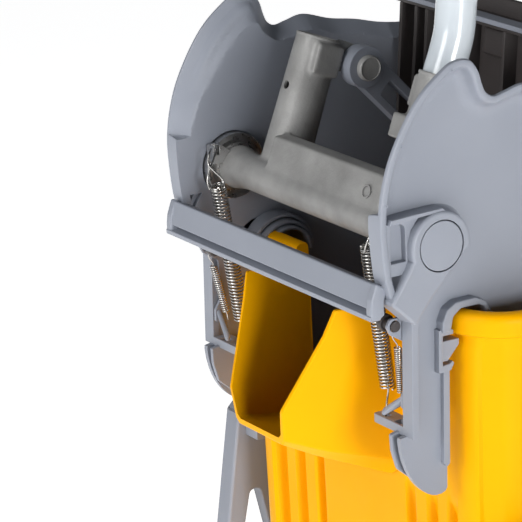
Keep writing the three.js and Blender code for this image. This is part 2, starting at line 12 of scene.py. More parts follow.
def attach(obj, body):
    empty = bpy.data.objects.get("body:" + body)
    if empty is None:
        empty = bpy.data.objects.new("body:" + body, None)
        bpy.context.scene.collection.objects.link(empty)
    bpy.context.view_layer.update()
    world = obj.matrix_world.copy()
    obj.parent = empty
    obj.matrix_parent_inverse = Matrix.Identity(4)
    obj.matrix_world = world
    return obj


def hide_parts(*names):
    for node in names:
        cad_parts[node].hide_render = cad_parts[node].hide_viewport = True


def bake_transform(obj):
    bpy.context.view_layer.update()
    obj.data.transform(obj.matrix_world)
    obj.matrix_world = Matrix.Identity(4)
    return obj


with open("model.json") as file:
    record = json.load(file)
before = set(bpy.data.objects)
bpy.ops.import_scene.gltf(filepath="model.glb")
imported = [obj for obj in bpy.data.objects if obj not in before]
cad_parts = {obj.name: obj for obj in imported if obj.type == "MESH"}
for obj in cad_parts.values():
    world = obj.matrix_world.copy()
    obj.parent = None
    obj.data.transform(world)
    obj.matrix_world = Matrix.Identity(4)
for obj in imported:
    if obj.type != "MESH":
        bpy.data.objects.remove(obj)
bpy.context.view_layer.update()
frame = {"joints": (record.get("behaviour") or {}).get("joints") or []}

MM = 0.001


JOINTS = {joint["name"]: joint for joint in frame["joints"]}
AXLE = Vector(JOINTS["handle_press"]["pos_m"])
SIDES = (("right", 1), ("left", -1))


# ---------------------------------------------------------------- mesh tools
def make_object(name, vertices, faces):
    mesh = bpy.data.meshes.new(name)
    mesh.from_pydata([tuple(v) for v in vertices], [], faces)
    obj = bpy.data.objects.new(name, mesh)
    bpy.context.scene.collection.objects.link(obj)
    outward(obj)
    return obj


def outward(obj):
    bm = bmesh.new()
    bm.from_mesh(obj.data)
    bmesh.ops.remove_doubles(bm, verts=bm.verts, dist=1e-4)
    bmesh.ops.recalc_face_normals(bm, faces=bm.faces)
    bm.to_mesh(obj.data)
    bm.free()


def bake(obj):
    """Applies an object's modifiers to its mesh."""
    graph = bpy.context.evaluated_depsgraph_get()
    mesh = bpy.data.meshes.new_from_object(obj.evaluated_get(graph))
    obj.modifiers.clear()
    obj.data = mesh
    return obj


def boolean(target, operation, *tools):
    for tool in tools:
        modifier = target.modifiers.new("boolean", "BOOLEAN")
        modifier.object = tool
        modifier.operation = operation
        modifier.solver = "EXACT"
        bake(target)
        bpy.data.objects.remove(tool)
    return target


def union(target, *tools):
    return boolean(target, "UNION", *tools)


def cut(target, *tools):
    return boolean(target, "DIFFERENCE", *tools)


def soften(obj, width, segments=2, angle=32):
    """Rounds the sharp edges."""
    modifier = obj.modifiers.new("bevel", "BEVEL")
    modifier.width = width
    modifier.segments = segments
    modifier.limit_method = "ANGLE"
    modifier.angle_limit = math.radians(angle)
    modifier.use_clamp_overlap = True
    return bake(obj)


def smooth(obj, angle=40):
    obj.data.shade_smooth()
    obj.data.set_sharp_from_angle(angle=math.radians(angle))
    modifier = obj.modifiers.new("normals", "WEIGHTED_NORMAL")
    modifier.keep_sharp = True
    return bake(obj)


def joined(name, objects):
    """Joins objects into one mesh of separate closed shells."""
    bm = bmesh.new()
    for obj in objects:
        bm.from_mesh(obj.data)
        bpy.data.objects.remove(obj)
    mesh = bpy.data.meshes.new(name)
    bm.to_mesh(mesh)
    bm.free()
    obj = bpy.data.objects.new(name, mesh)
    bpy.context.scene.collection.objects.link(obj)
    return obj


def copy_of(obj, name, mirror=False):
    twin = bpy.data.objects.new(name, obj.data.copy())
    bpy.context.scene.collection.objects.link(twin)
    if mirror:
        twin.data.transform(Matrix.Scale(-1, 4, (1, 0, 0)))
        twin.data.flip_normals()
    return twin


# ---------------------------------------------------------------- outlines
def rounded(points, steps=5):
    """Points (a, b) or (a, b, radius) become an outline with round corners."""
    result = []
    count = len(points)
    for i, point in enumerate(points):
        corner = Vector(point[:2])
        radius = point[2] if len(point) > 2 else 0
        if not radius:
            result.append(corner)
            continue
        before = Vector(points[i - 1][:2]) - corner
        after = Vector(points[(i + 1) % count][:2]) - corner
        half = before.angle(after) / 2
        reach = min(radius / math.tan(half), before.length * 0.49, after.length * 0.49)
        start = corner + before.normalized() * reach
        end = corner + after.normalized() * reach
        for step in range(steps + 1):
            t = step / steps
            result.append(start.lerp(corner, t).lerp(corner.lerp(end, t), t))
    return [tuple(p) for p in result]


def spline(points, per_span=6, closed=False):
    """A Catmull-Rom line through the points."""
    points = [Vector(p) for p in points]
    count = len(points)
    spans = count if closed else count - 1
    result = []
    for i in range(spans):
        if closed:
            p0, p1, p2, p3 = (points[(i + k) % count] for k in (-1, 0, 1, 2))
        else:
            p1, p2 = points[i], points[i + 1]
            p0 = points[i - 1] if i else p1 * 2 - p2
            p3 = points[i + 2] if i + 2 < count else p2 * 2 - p1
        for step in range(per_span):
            t = step / per_span
            result.append(0.5 * (2 * p1 + (p2 - p0) * t + (2 * p0 - 5 * p1 + 4 * p2 - p3) * t * t
                                 + (3 * p1 - p0 - 3 * p2 + p3) * t ** 3))
    if not closed:
        result.append(points[-1])
    return result


def prism(points, low, high, place, name="prism"):
    """Extrudes an outline; place(a, b, depth) gives a point in space."""
    count = len(points)
    vertices = [place(a, b, low) for a, b in points] + [place(a, b, high) for a, b in points]
    faces = [list(range(count)), list(range(2 * count - 1, count - 1, -1))]
    faces += [[i, (i + 1) % count, (i + 1) % count + count, i + count] for i in range(count)]
    return make_object(name, vertices, faces)


def slab(points, x0, x1, name="slab"):
    """A Y,Z outline with round corners, extruded in X."""
    return prism(rounded(points), x0, x1, lambda y, z, x: (x, y, z), name)


def plan(points, z0, z1, name="plan"):
    """An X,Y outline with round corners, extruded in Z."""
    return prism(rounded(points), z0, z1, lambda x, y, z: (x, y, z), name)


def box(x0, x1, y0, y1, z0, z1, name="box"):
    return slab([(y0, z0), (y1, z0), (y1, z1), (y0, z1)], x0, x1, name)


def rings(loops, name="rings", cap=True, closed=False):
    """Skins a list of loops that all have the same number of points."""
    count = len(loops[0])
    vertices = [p for loop in loops for p in loop]
    faces = []
    for level in range(len(loops) if closed else len(loops) - 1):
        a = level * count
        b = (level + 1) % len(loops) * count
        for i in range(count):
            j = (i + 1) % count
            faces.append([a + i, a + j, b + j, b + i])
    if cap and not closed:
        faces.append(list(range(count - 1, -1, -1)))
        last = (len(loops) - 1) * count
        faces.append(list(range(last, last + count)))
    return make_object(name, vertices, faces)


def across(direction):
    """Two unit vectors square to a direction."""
    direction = Vector(direction).normalized()
    helper = Vector((1, 0, 0)) if abs(direction.x) < 0.9 else Vector((0, 1, 0))
    u = (helper - direction * helper.dot(direction)).normalized()
    return u, direction.cross(u)


def turned(profile, start, direction, segments=48, name="turned"):
    """A solid of revolution; profile holds (distance along, radius) and starts and ends on the axis."""
    start = Vector(start)
    direction = Vector(direction).normalized()
    u, v = across(direction)
    loops = []
    for along, radius in profile:
        centre = start + direction * along
        radius = max(radius, 1e-3)
        loops.append([centre + (u * math.cos(a) + v * math.sin(a)) * radius
                      for a in (2 * math.pi * i / segments for i in range(segments))])
    return rings(loops, name)


def rod(start, end, radius, end_radius=None, round_edge=0.0, segments=40, name="rod"):
    start, end = Vector(start), Vector(end)
    end_radius = radius if end_radius is None else end_radius
    length = (end - start).length
    if round_edge:
        e = round_edge
        profile = [(0, radius - e), (0.3 * e, radius - 0.3 * e), (e, radius),
                   (length - e, end_radius), (length - 0.3 * e, end_radius - 0.3 * e),
                   (length, end_radius - e)]
    else:
        profile = [(0, radius), (length, end_radius)]
    return turned(profile, start, end - start, segments, name)


def ring(inner, outer, start, end, edge=0.6, segments=64, name="ring"):
    """A flat washer or bush with rounded edges."""
    start, end = Vector(start), Vector(end)
    length = (end - start).length
    profile = [(0, inner + edge), (0, outer - edge), (edge, outer), (length - edge, outer),
               (length, outer - edge), (length, inner + edge), (length - edge, inner), (edge, inner)]
    direction = (end - start).normalized()
    u, v = across(direction)
    loops = [[start + direction * along + (u * math.cos(a) + v * math.sin(a)) * radius
              for a in (2 * math.pi * i / segments for i in range(segments))] for along, radius in profile]
    return rings(loops, name, closed=True)


def tube(points, radius, segments=10, name="tube"):
    """A round bar along a line of points, with radius a number or a function of the share of the line."""
    points = [Vector(p) for p in points]
    tangent = (points[1] - points[0]).normalized()
    u, _ = across(tangent)
    loops = []
    for i, point in enumerate(points):
        ahead = points[min(i + 1, len(points) - 1)]
        behind = points[max(i - 1, 0)]
        tangent = (ahead - behind).normalized()
        u = (u - tangent * u.dot(tangent)).normalized()
        v = tangent.cross(u)
        size = radius(i / (len(points) - 1)) if callable(radius) else radius
        loops.append([point + (u * math.cos(a) + v * math.sin(a)) * size
                      for a in (2 * math.pi * k / segments for k in range(segments))])
    return rings(loops, name)


def rounded_hull(points, radius, name="hull"):
    """The convex hull of small balls, so every edge is round."""
    bm = bmesh.new()
    for point in points:
        made = bmesh.ops.create_icosphere(bm, subdivisions=2, radius=radius)
        bmesh.ops.translate(bm, verts=made["verts"], vec=Vector(point))
    bmesh.ops.convex_hull(bm, input=bm.verts)
    loose = [v for v in bm.verts if not v.link_faces]
    bmesh.ops.delete(bm, geom=loose, context="VERTS")
    mesh = bpy.data.meshes.new(name)
    bm.to_mesh(mesh)
    bm.free()
    obj = bpy.data.objects.new(name, mesh)
    bpy.context.scene.collection.objects.link(obj)
    outward(obj)
    return obj


# ---------------------------------------------------------------- materials
def node_material(name):
    material = bpy.data.materials.new(name)
    material.use_nodes = True
    nodes = material.node_tree.nodes
    return material, nodes, material.node_tree.links, nodes["Principled BSDF"]


def noise_node(nodes, links, coordinates, scale, detail=3.0, stretch=None):
    texture = nodes.new("ShaderNodeTexNoise")
    texture.inputs["Scale"].default_value = scale
    texture.inputs["Detail"].default_value = detail
    if stretch:
        mapping = nodes.new("ShaderNodeMapping")
        mapping.inputs["Scale"].default_value = stretch
        links.new(coordinates, mapping.inputs["Vector"])
        links.new(mapping.outputs["Vector"], texture.inputs["Vector"])
    else:
        links.new(coordinates, texture.inputs["Vector"])
    return texture.outputs["Fac"]


def ramp(nodes, links, factor, low, high, start=0.3, end=0.7):
    node = nodes.new("ShaderNodeValToRGB")
    node.color_ramp.elements[0].position = start
    node.color_ramp.elements[0].color = (*low, 1)
    node.color_ramp.elements[1].position = end
    node.color_ramp.elements[1].color = (*high, 1)
    links.new(factor, node.inputs["Fac"])
    return node.outputs["Color"]


def spread(nodes, links, factor, low, high):
    node = nodes.new("ShaderNodeMapRange")
    node.inputs["From Min"].default_value = 0.3
    node.inputs["From Max"].default_value = 0.7
    node.inputs["To Min"].default_value = low
    node.inputs["To Max"].default_value = high
    links.new(factor, node.inputs["Value"])
    return node.outputs["Result"]


def surface(name, low, high, roughness, metallic=0.0, blotch=14.0, grain=1400.0, grain_depth=0.02,
            wave=60.0, wave_depth=0.0, coat=0.0, specular=0.5, stretch=None):
    """A solid colour that drifts between two tones, with uneven gloss, fine grain and slow waves."""
    material, nodes, links, shader = node_material(name)
    place = nodes.new("ShaderNodeTexCoord").outputs["Object"]
    tone = noise_node(nodes, links, place, blotch, 4.0, stretch)
    links.new(ramp(nodes, links, tone, low, high), shader.inputs["Base Color"])
    gloss = noise_node(nodes, links, place, blotch * 3.1, 5.0, stretch)
    links.new(spread(nodes, links, gloss, *roughness), shader.inputs["Roughness"])
    shader.inputs["Metallic"].default_value = metallic
    shader.inputs["Coat Weight"].default_value = coat
    shader.inputs["Coat Roughness"].default_value = 0.12
    shader.inputs["Specular IOR Level"].default_value = specular
    fine = nodes.new("ShaderNodeBump")
    fine.inputs["Strength"].default_value = 1.0
    fine.inputs["Distance"].default_value = grain_depth * MM
    links.new(noise_node(nodes, links, place, grain, 2.0, stretch), fine.inputs["Height"])
    if wave_depth:
        slow = nodes.new("ShaderNodeBump")
        slow.inputs["Strength"].default_value = 1.0
        slow.inputs["Distance"].default_value = wave_depth * MM
        links.new(noise_node(nodes, links, place, wave, 2.0), slow.inputs["Height"])
        links.new(fine.outputs["Normal"], slow.inputs["Normal"])
        links.new(slow.outputs["Normal"], shader.inputs["Normal"])
    else:
        links.new(fine.outputs["Normal"], shader.inputs["Normal"])
    return material


GREY = surface("grey_plastic", (0.248, 0.268, 0.315), (0.270, 0.290, 0.338), (0.36, 0.5),
               grain=1100.0, grain_depth=0.03, wave=25.0, wave_depth=0.25)
# dark plastic whose brown-black tone is also matched to the shade in the wringer's cavity: partly the part's
# own colour, partly painted shade
DARK_PLASTIC_AND_SHADE = surface("dark_plastic", (0.040, 0.034, 0.033), (0.056, 0.049, 0.048), (0.4, 0.55),
               grain=900.0, grain_depth=0.05)
YELLOW = surface("bucket_yellow", (0.85, 0.385, 0.0), (0.90, 0.425, 0.0), (0.34, 0.46),
                 blotch=9.0, grain=800.0, grain_depth=0.03, wave=18.0, wave_depth=0.4, specular=0.06)
CAST = surface("cast_aluminium", (0.25, 0.248, 0.242), (0.35, 0.347, 0.34), (0.42, 0.6), metallic=0.2,
               blotch=45.0, grain=600.0, grain_depth=0.16, wave=90.0, wave_depth=0.35)
STEEL = surface("zinc_steel", (0.50, 0.50, 0.50), (0.62, 0.61, 0.6), (0.24, 0.4), metallic=1.0,
                blotch=70.0, grain=1500.0, grain_depth=0.02)
SPRING = surface("spring_steel", (0.42, 0.41, 0.39), (0.6, 0.59, 0.57), (0.16, 0.28), metallic=1.0,
                 blotch=120.0, grain=1800.0, grain_depth=0.01)
ENAMEL = surface("white_enamel", (0.53, 0.58, 0.62), (0.59, 0.64, 0.68), (0.18, 0.26), coat=0.5,
                 blotch=20.0, grain=300.0, grain_depth=0.04)
GRIP = surface("grip_rubber", (0.03, 0.03, 0.032), (0.05, 0.05, 0.052), (0.6, 0.8), grain=500.0,
               grain_depth=0.12)
TREAD = surface("wheel_rubber", (0.10, 0.10, 0.105), (0.15, 0.15, 0.155), (0.55, 0.75), blotch=40.0,
                grain=500.0, grain_depth=0.08)


def place_piece(obj, name, body, material, nodes=(), smooth_angle=40):
    """Puts a piece drawn in millimetres about the axle into the row frame and lets it ride."""
    smooth(obj, smooth_angle)
    obj.name = name
    obj.data.name = name
    obj.data.transform(Matrix.Translation(AXLE) @ Matrix.Scale(MM, 4))
    obj.data.materials.clear()
    obj.data.materials.append(material)
    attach(obj, body)
    if nodes:
        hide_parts(*nodes)
    return obj


def place_pair(obj, name, body, material, node=None, smooth_angle=40):
    """Places a right-hand piece and its mirror image; body and node may hold {side}."""
    twin = copy_of(obj, "twin", mirror=True)
    for (side, _), piece in zip(SIDES, (obj, twin)):
        nodes = (node.format(side=side),) if node else ()
        place_piece(piece, name.format(side=side), body.format(side=side), material, nodes,
                    smooth_angle)


# ---------------------------------------------------------------- stage, light and camera
CAMERA_AZIMUTH = math.radians(57.47)
CAMERA_ELEVATION = math.radians(17.01)
CAMERA_ROLL = math.radians(-1.33)
CAMERA_DISTANCE = 2.42
CAMERA_LENS = 224.3
AIM_RIGHT = -0.0476  # the view's middle, from the axle
AIM_UP = -0.0452


def add_camera():
    a, e, roll = CAMERA_AZIMUTH, CAMERA_ELEVATION, CAMERA_ROLL
    level_right = Vector((math.cos(a), math.sin(a), 0))
    level_up = Vector((-math.sin(e) * math.sin(a), math.sin(e) * math.cos(a), math.cos(e)))
    back = Vector((math.cos(e) * math.sin(a), -math.cos(e) * math.cos(a), math.sin(e)))
    right = level_right * math.cos(roll) + level_up * math.sin(roll)
    up = level_up * math.cos(roll) - level_right * math.sin(roll)
    data = bpy.data.cameras.new("camera")
    data.lens = CAMERA_LENS
    data.sensor_width = 36
    data.clip_end = 50
    camera = bpy.data.objects.new("camera", data)
    bpy.context.scene.collection.objects.link(camera)
    where = AXLE + right * AIM_RIGHT + up * AIM_UP + back * CAMERA_DISTANCE
    camera.matrix_world = Matrix((
        (right.x, up.x, back.x, where.x),
        (right.y, up.y, back.y, where.y),
        (right.z, up.z, back.z, where.z),
        (0, 0, 0, 1)))
    bpy.context.scene.camera = camera


def add_area_light(name, position, target, size, power, colour=(1, 1, 1)):
    data = bpy.data.lights.new(name, "AREA")
    data.shape = "RECTANGLE"
    data.size, data.size_y = size
    data.energy = power
    data.color = colour
    light = bpy.data.objects.new(name, data)
    bpy.context.scene.collection.objects.link(light)
    light.location = position
    light.rotation_euler = (Vector(target) - Vector(position)).to_track_quat("-Z", "Y").to_euler()


def add_stage():
    floor_size = 14.0
    half = floor_size / 2
    floor = make_object("floor", [(-half, -half, 0), (half, -half, 0), (half, half, 0), (-half, half, 0)],
                        [[0, 1, 2, 3]])
    material, nodes, links, shader = node_material("floor")
    place = nodes.new("ShaderNodeTexCoord").outputs["Object"]
    tone = noise_node(nodes, links, place, 0.8, 2.0)
    links.new(ramp(nodes, links, tone, (0.9, 0.9, 0.9), (0.94, 0.94, 0.94)), shader.inputs["Base Color"])
    shader.inputs["Roughness"].default_value = 0.7
    shader.inputs["Emission Color"].default_value = (1, 1, 1, 1)
    shader.inputs["Emission Strength"].default_value = 0.88
    floor.data.materials.append(material)
    world = bpy.data.worlds.new("studio")
    world.use_nodes = True
    nodes, links = world.node_tree.nodes, world.node_tree.links
    background = nodes["Background"]
    direction = nodes.new("ShaderNodeTexCoord").outputs["Generated"]
    height = nodes.new("ShaderNodeSeparateXYZ")
    links.new(direction, height.inputs["Vector"])
    tent = nodes.new("ShaderNodeValToRGB")
    tent.color_ramp.elements[0].position = 0.1
    tent.color_ramp.elements[0].color = (0.95, 0.97, 1.0, 1)
    tent.color_ramp.elements[1].position = 0.5
    tent.color_ramp.elements[1].color = (0.1, 0.11, 0.12, 1)
    links.new(height.outputs["Z"], tent.inputs["Fac"])
    links.new(tent.outputs["Color"], background.inputs["Color"])
    background.inputs["Strength"].default_value = 0.25
    bpy.context.scene.world = world
    bpy.context.scene.view_settings.view_transform = "Standard"
    add_area_light("side", (3.2, -0.6, 0.62), AXLE, (0.9, 0.9), 57)
    add_area_light("front", (0.5, -3.0, 1.3), AXLE, (1.2, 1.2), 34)
    add_area_light("top", (-0.1, -2.4, 2.5), AXLE, (1.4, 1.4), 20)


add_camera()
add_stage()


# ---------------------------------------------------------------- tub
TUB_TOP, TUB_FOOT = -54, -372
TUB_FRONT, TUB_REAR = 26, 496
TUB_MIDDLE = (TUB_FRONT + TUB_REAR) / 2
TUB_HALF = 167
TUB_CORNER = 38
TUB_DRAFT = 0.955
WALL = 3.6
FLUTES = ((58, 68), (86, 98), (114, 126))
FLUTE_DEPTH = 8.0
PILASTER_END = 29  # degrees round the corner from the front wall
PILASTER_HEIGHT = 2.6


def ease(value, low, high):
    t = min(max((value - low) / (high - low), 0.0), 1.0)
    return t * t * (3 - 2 * t)


def hollow_between(value, low, high, edge=3.0):
    """1 between low and high, 0 outside, with soft sides."""
    return ease(value, low - edge / 2, low + edge / 2) * (1 - ease(value, high - edge / 2, high + edge / 2))


def pilaster(turn, z, strength):
    """How far the strip beside each front corner stands out; turn is in degrees from the front wall."""
    rise = strength * ease(-z, 76, 80) * (1 - ease(-z, 352, 366))
    return rise * (PILASTER_HEIGHT * (1 - ease(turn, PILASTER_END, PILASTER_END + 4))
                   - 1.3 * hollow_between(turn, PILASTER_END + 4, PILASTER_END + 24, 14))


def tub_loop(z, offset, fluting=1.0):
    """The tub's outline at a height, moved outwards by the offset."""
    share = (z - TUB_FOOT) / (TUB_TOP - TUB_FOOT)
    scale = TUB_DRAFT + (1 - TUB_DRAFT) * share
    half, front, rear = TUB_HALF + offset, TUB_FRONT - offset, TUB_REAR + offset
    radius = TUB_CORNER + offset
    points = []
    front_steps, side_steps, arc_steps = 150, 24, 30
    straight = half - radius
    for i in range(front_steps):
        points.append((-straight + 2 * straight * i / front_steps, front))
    for i in range(arc_steps):
        a = -math.pi / 2 + math.pi / 2 * i / arc_steps
        reach = radius + pilaster(90 * i / arc_steps, z, fluting)
        points.append((straight + reach * math.cos(a), front + radius + reach * math.sin(a)))
    for i in range(side_steps):
        points.append((half, front + radius + (rear - front - 2 * radius) * i / side_steps))
    for i in range(arc_steps):
        a = math.pi / 2 * i / arc_steps
        points.append((straight + radius * math.cos(a), rear - radius + radius * math.sin(a)))
    for i in range(side_steps):
        points.append((straight - 2 * straight * i / side_steps, rear))
    for i in range(arc_steps):
        a = math.pi / 2 + math.pi / 2 * i / arc_steps
        points.append((-straight + radius * math.cos(a), rear - radius + radius * math.sin(a)))
    for i in range(side_steps):
        points.append((-half, rear - radius - (rear - front - 2 * radius) * i / side_steps))
    for i in range(arc_steps):
        a = math.pi + math.pi / 2 * i / arc_steps
        reach = radius + pilaster(90 - 90 * i / arc_steps, z, fluting)
        points.append((-straight + reach * math.cos(a), front + radius + reach * math.sin(a)))
    loop = []
    for x, y in points:
        x, y = x * scale, TUB_MIDDLE + (y - TUB_MIDDLE) * scale
        if fluting and y < TUB_MIDDLE:
            depth = fluting * FLUTE_DEPTH * ease(-z, 205, 232)
            groove = sum(hollow_between(abs(x), low * scale, high * scale) for low, high in FLUTES)
            y += depth * groove
        loop.append((x, y, z))
    return loop


def tub_shell():
    profile = [(TUB_FOOT, -7), (TUB_FOOT + 1, -3), (TUB_FOOT + 3.5, -0.8), (TUB_FOOT + 7, 0)]
    profile += [(TUB_FOOT + 7 + (76 - 62) * 11 * k / 12, 0) for k in range(1, 12)]
    profile += [(-213, 0), (-205, 0), (-140, 0), (-84, 0), (-76, 0.4), (-73.4, 1.4), (-72.6, 3),
                (-72, 7.6), (-71, 8.7), (-69.5, 9), (-61, 9), (-58, 8.5), (-55.8, 7), (-54.4, 4.6),
                (-54, 1.5), (-54, -0.5), (-54.8, -2.3), (-57, -3.4), (-62, -WALL)]
    loops = [tub_loop(z, offset) for z, offset in profile]
    inner = [(-150, -WALL), (-213, -WALL), (-235, -WALL), (TUB_FOOT + 12, -WALL),
             (TUB_FOOT + 6, -WALL - 1.5), (TUB_FOOT + 4, -WALL - 5)]
    loops += [tub_loop(z, offset) for z, offset in inner]
    return rings(loops, "tub")


# Half of the chute's outline from the top down to its middle, at the mouth and at the tub's wall: (x, y, z).
CHUTE_MOUTH = ((61.5, -33, -64), (56.5, -39.5, -84), (36.5, -65.4, -143.5), (33.4, -62.6, -167),
               (29.5, -61.8, -171.6))
CHUTE_ROOT = ((72, 30, -64), (72, 30, -90), (72, 30, -150), (66, 30, -194), (40, 30, -212))
CHUTE_CREASE = ((68.5, -4, -64), (66, -10, -84), (52, -34, -146), (48, -32, -178), (34, -32, -186))
CHUTE_WALL = 3.4


def inset(points, amount):
    """Moves half of an outline inwards, with a nearly flat floor between its two lowest points."""
    side = [(x - amount, y, z) for x, y, z in points[:3]]
    (x, y, z), (middle, _, _) = points[3:]
    return side + [(x - amount, y, z + amount), (middle - amount, y, z + amount - 3)]


def loft(stations, name):
    """A solid through half outlines, mirrored about the middle, with flat strips across both ends."""
    count = len(stations[0])
    size = 2 * count
    vertices, faces = [], []
    for half in stations:
        vertices += [(-x, y, z) for x, y, z in half] + [(x, y, z) for x, y, z in reversed(half)]
    for level in range(len(stations) - 1):
        a, b = level * size, (level + 1) * size
        faces += [[a + i, a + (i + 1) % size, b + (i + 1) % size, b + i] for i in range(size)]
    for base in (0, (len(stations) - 1) * size):
        faces += [[base + k, base + k + 1, base + size - 2 - k, base + size - 1 - k]
                  for k in range(count - 1)]
    return make_object(name, vertices, faces)


def between(a, b, share):
    return [tuple(Vector(p).lerp(Vector(q), share)) for p, q in zip(a, b)]


def chute():
    """The pouring chute and the hollow that opens it at the mouth, at the top and into the tub."""
    body = loft([CHUTE_MOUTH, between(CHUTE_MOUTH, CHUTE_CREASE, 0.9),
                 between(CHUTE_CREASE, CHUTE_ROOT, 0.1), CHUTE_ROOT], "chute")
    mouth, crease, root = (inset(points, CHUTE_WALL) for points in (CHUTE_MOUTH, CHUTE_CREASE, CHUTE_ROOT))
    beyond = between(mouth, crease, -0.3)
    inside = [(x, y + 14, z) for x, y, z in root]
    halves = [beyond, mouth, between(mouth, crease, 0.9), between(crease, root, 0.1), root, inside]
    raised = [[(half[0][0] + 1, half[0][1], -40)] + half for half in halves]
    return body, loft(raised, "hollow")


tub = tub_shell()
chute_body, chute_hollow = chute()
tub = cut(union(tub, soften(chute_body, 1.4, 3, 20)), chute_hollow)
place_piece(tub, "tub_shell", "frame", YELLOW, ("bucket_tub",), 35)


# ---------------------------------------------------------------- side plates
PLATE_IN, PLATE_OUT, EDGE_OUT = 129, 133.5, 144
EAR = ((-42, -33), (-46, -19), (-49, 4), (-50, 26), (-47, 48), (-40, 70), (-27, 94), (-13, 112), (6, 127),
       (15, 131), (23, 131.5), (30, 129), (36, 121), (39.5, 111), (43, 104.5), (50, 101), (60, 103),
       (77, 106), (102, 99), (126, 95), (165, 87), (250, 82), (340, 80))
PLATE_END = ((350, 78), (352, 72), (352, -44), (346, -50), (318, -60), (202, -184), (197, -186), (62, -186),
             (56, -183), (46, -172), (46, -56))
HOOK_INSIDE = ((44, -60), (42, -55), (38, -52.5), (19, -52.5), (14.5, -55), (13, -60), (13, -68))
LEG = ((14, -98), (14, -189.5), (12.6, -192), (9, -193.6), (4, -193.8), (0, -192.8), (-4, -190.8),
       (-8, -187.8), (-12, -184), (-15.6, -179.6), (-18.8, -174.6), (-21.6, -169), (-24, -162.6),
       (-26, -155), (-27.2, -147), (-27, -144), (-21.5, -143), (-21.5, -56), (-22, -54))
FLARE_LINE = ((-40, -20), (-40, 2), (-39, 16), (-36, 33), (-30, 51), (-16, 72), (0, 93), (16, 106),
              (26, 108), (33, 99), (44, 92), (56, 92.5), (77, 96), (102, 89), (126, 85), (165, 77),
              (250, 72), (344, 70))
EDGE_PROFILE = ((0, 9.0), (0.7, 10.1), (2.0, 10.5), (4.4, 10.5), (5.6, 10.0), (6.5, 8.6), (7.4, 6.2),
                (8.6, 3.8), (10.4, 1.8), (13.0, 0.6), (17.0, 0.0))


def ramp_value(table, value):
    if value <= table[0][0]:
        return table[0][1]
    for (a, x), (b, y) in zip(table, table[1:]):
        if value <= b:
            return x + (y - x) * (value - a) / (b - a)
    return table[-1][1]


def distance_to(line, y, z):
    """Distance to a line of points, and on which side of it the point lies."""
    best, side = 1e9, 1
    for (ay, az), (by, bz) in zip(line, line[1:]):
        dy, dz = by - ay, bz - az
        t = min(max(((y - ay) * dy + (z - az) * dz) / (dy * dy + dz * dz), 0), 1)
        gap = math.hypot(y - ay - t * dy, z - az - t * dz)
        if gap < best - 1e-9:
            best = gap
            side = 1 if dy * (z - az) - dz * (y - ay) > 0 else -1
    return best, side


def inside(outline, y, z):
    hit = False
    for (ay, az), (by, bz) in zip(outline, outline[1:] + outline[:1]):
        if (az > z) != (bz > z) and y < (by - ay) * (z - az) / (bz - az) + ay:
            hit = not hit
    return hit


def relief(outline, holes, extra, spacing, outer, inner, name):
    """A sheet between two height maps: outer(y, z) and inner(y, z) give X over the outline."""
    loops = [outline] + holes
    points, edges = [], []
    for loop in loops:
        start = len(points)
        points += loop
        edges += [(start + i, start + (i + 1) % len(loop)) for i in range(len(loop))]
    low_y, high_y = min(p[0] for p in outline), max(p[0] for p in outline)
    low_z, high_z = min(p[1] for p in outline), max(p[1] for p in outline)
    grid = [(low_y + spacing * (i + 0.5 * (k % 2)), low_z + spacing * k)
            for i in range(int((high_y - low_y) / spacing) + 1)
            for k in range(int((high_z - low_z) / spacing) + 1)]
    closed_loops = [loop + loop[:1] for loop in loops]
    for candidates, clearance in ((extra, 0.35), (grid, spacing * 0.4)):
        for y, z in candidates:
            if not inside(outline, y, z) or any(inside(hole, y, z) for hole in holes):
                continue
            if min(distance_to(loop, y, z)[0] for loop in closed_loops) < clearance:
                continue
            points.append((y, z))
    result = delaunay_2d_cdt([Vector(p) for p in points], edges, [list(range(len(outline)))], 1, 1e-4)
    flat, _, triangles = result[0], result[1], result[2]
    faces = []
    for triangle in triangles:
        cy = sum(flat[i].x for i in triangle) / 3
        cz = sum(flat[i].y for i in triangle) / 3
        if inside(outline, cy, cz) and not any(inside(hole, cy, cz) for hole in holes):
            faces.append(list(triangle))
    count = len(flat)
    vertices = [(outer(p.x, p.y), p.x, p.y) for p in flat] + [(inner(p.x, p.y), p.x, p.y) for p in flat]
    uses = {}
    for face in faces:
        for a, b in zip(face, face[1:] + face[:1]):
            uses[(a, b)] = True
    walls = [[b, a, a + count, b + count] for a, b in uses if (b, a) not in uses]
    return make_object(name, vertices, faces + [[i + count for i in reversed(face)] for face in faces]
                       + walls)


def circle(y, z, radius, count=40):
    return [(y + radius * math.cos(2 * math.pi * i / count), z + radius * math.sin(2 * math.pi * i / count))
            for i in range(count)]


EDGE_LINE = [tuple(p) for p in spline(EAR, 6)] + [(350, 78), (352, 72)]
FLARE = [tuple(p) for p in spline(FLARE_LINE, 5)]


def plate_outer(y, z):
    gap, _ = distance_to(EDGE_LINE, y, z)
    return PLATE_OUT + ramp_value(EDGE_PROFILE, gap)


STEP_Z = 28  # the ear's inner face flares outwards above this height


def plate_inner(y, z):
    gap, _ = distance_to(EDGE_LINE, y, z)
    if gap > 40:
        return PLATE_IN
    crease, side = distance_to(FLARE, y, z)
    share = gap / (gap + crease) if side > 0 else 1.0
    flare = 12.0 * (1 - share) * ease(z, -60, -20) * ease(z, STEP_Z - 0.3, STEP_Z + 0.3)
    return min(PLATE_IN + flare, plate_outer(y, z) - 1.6)


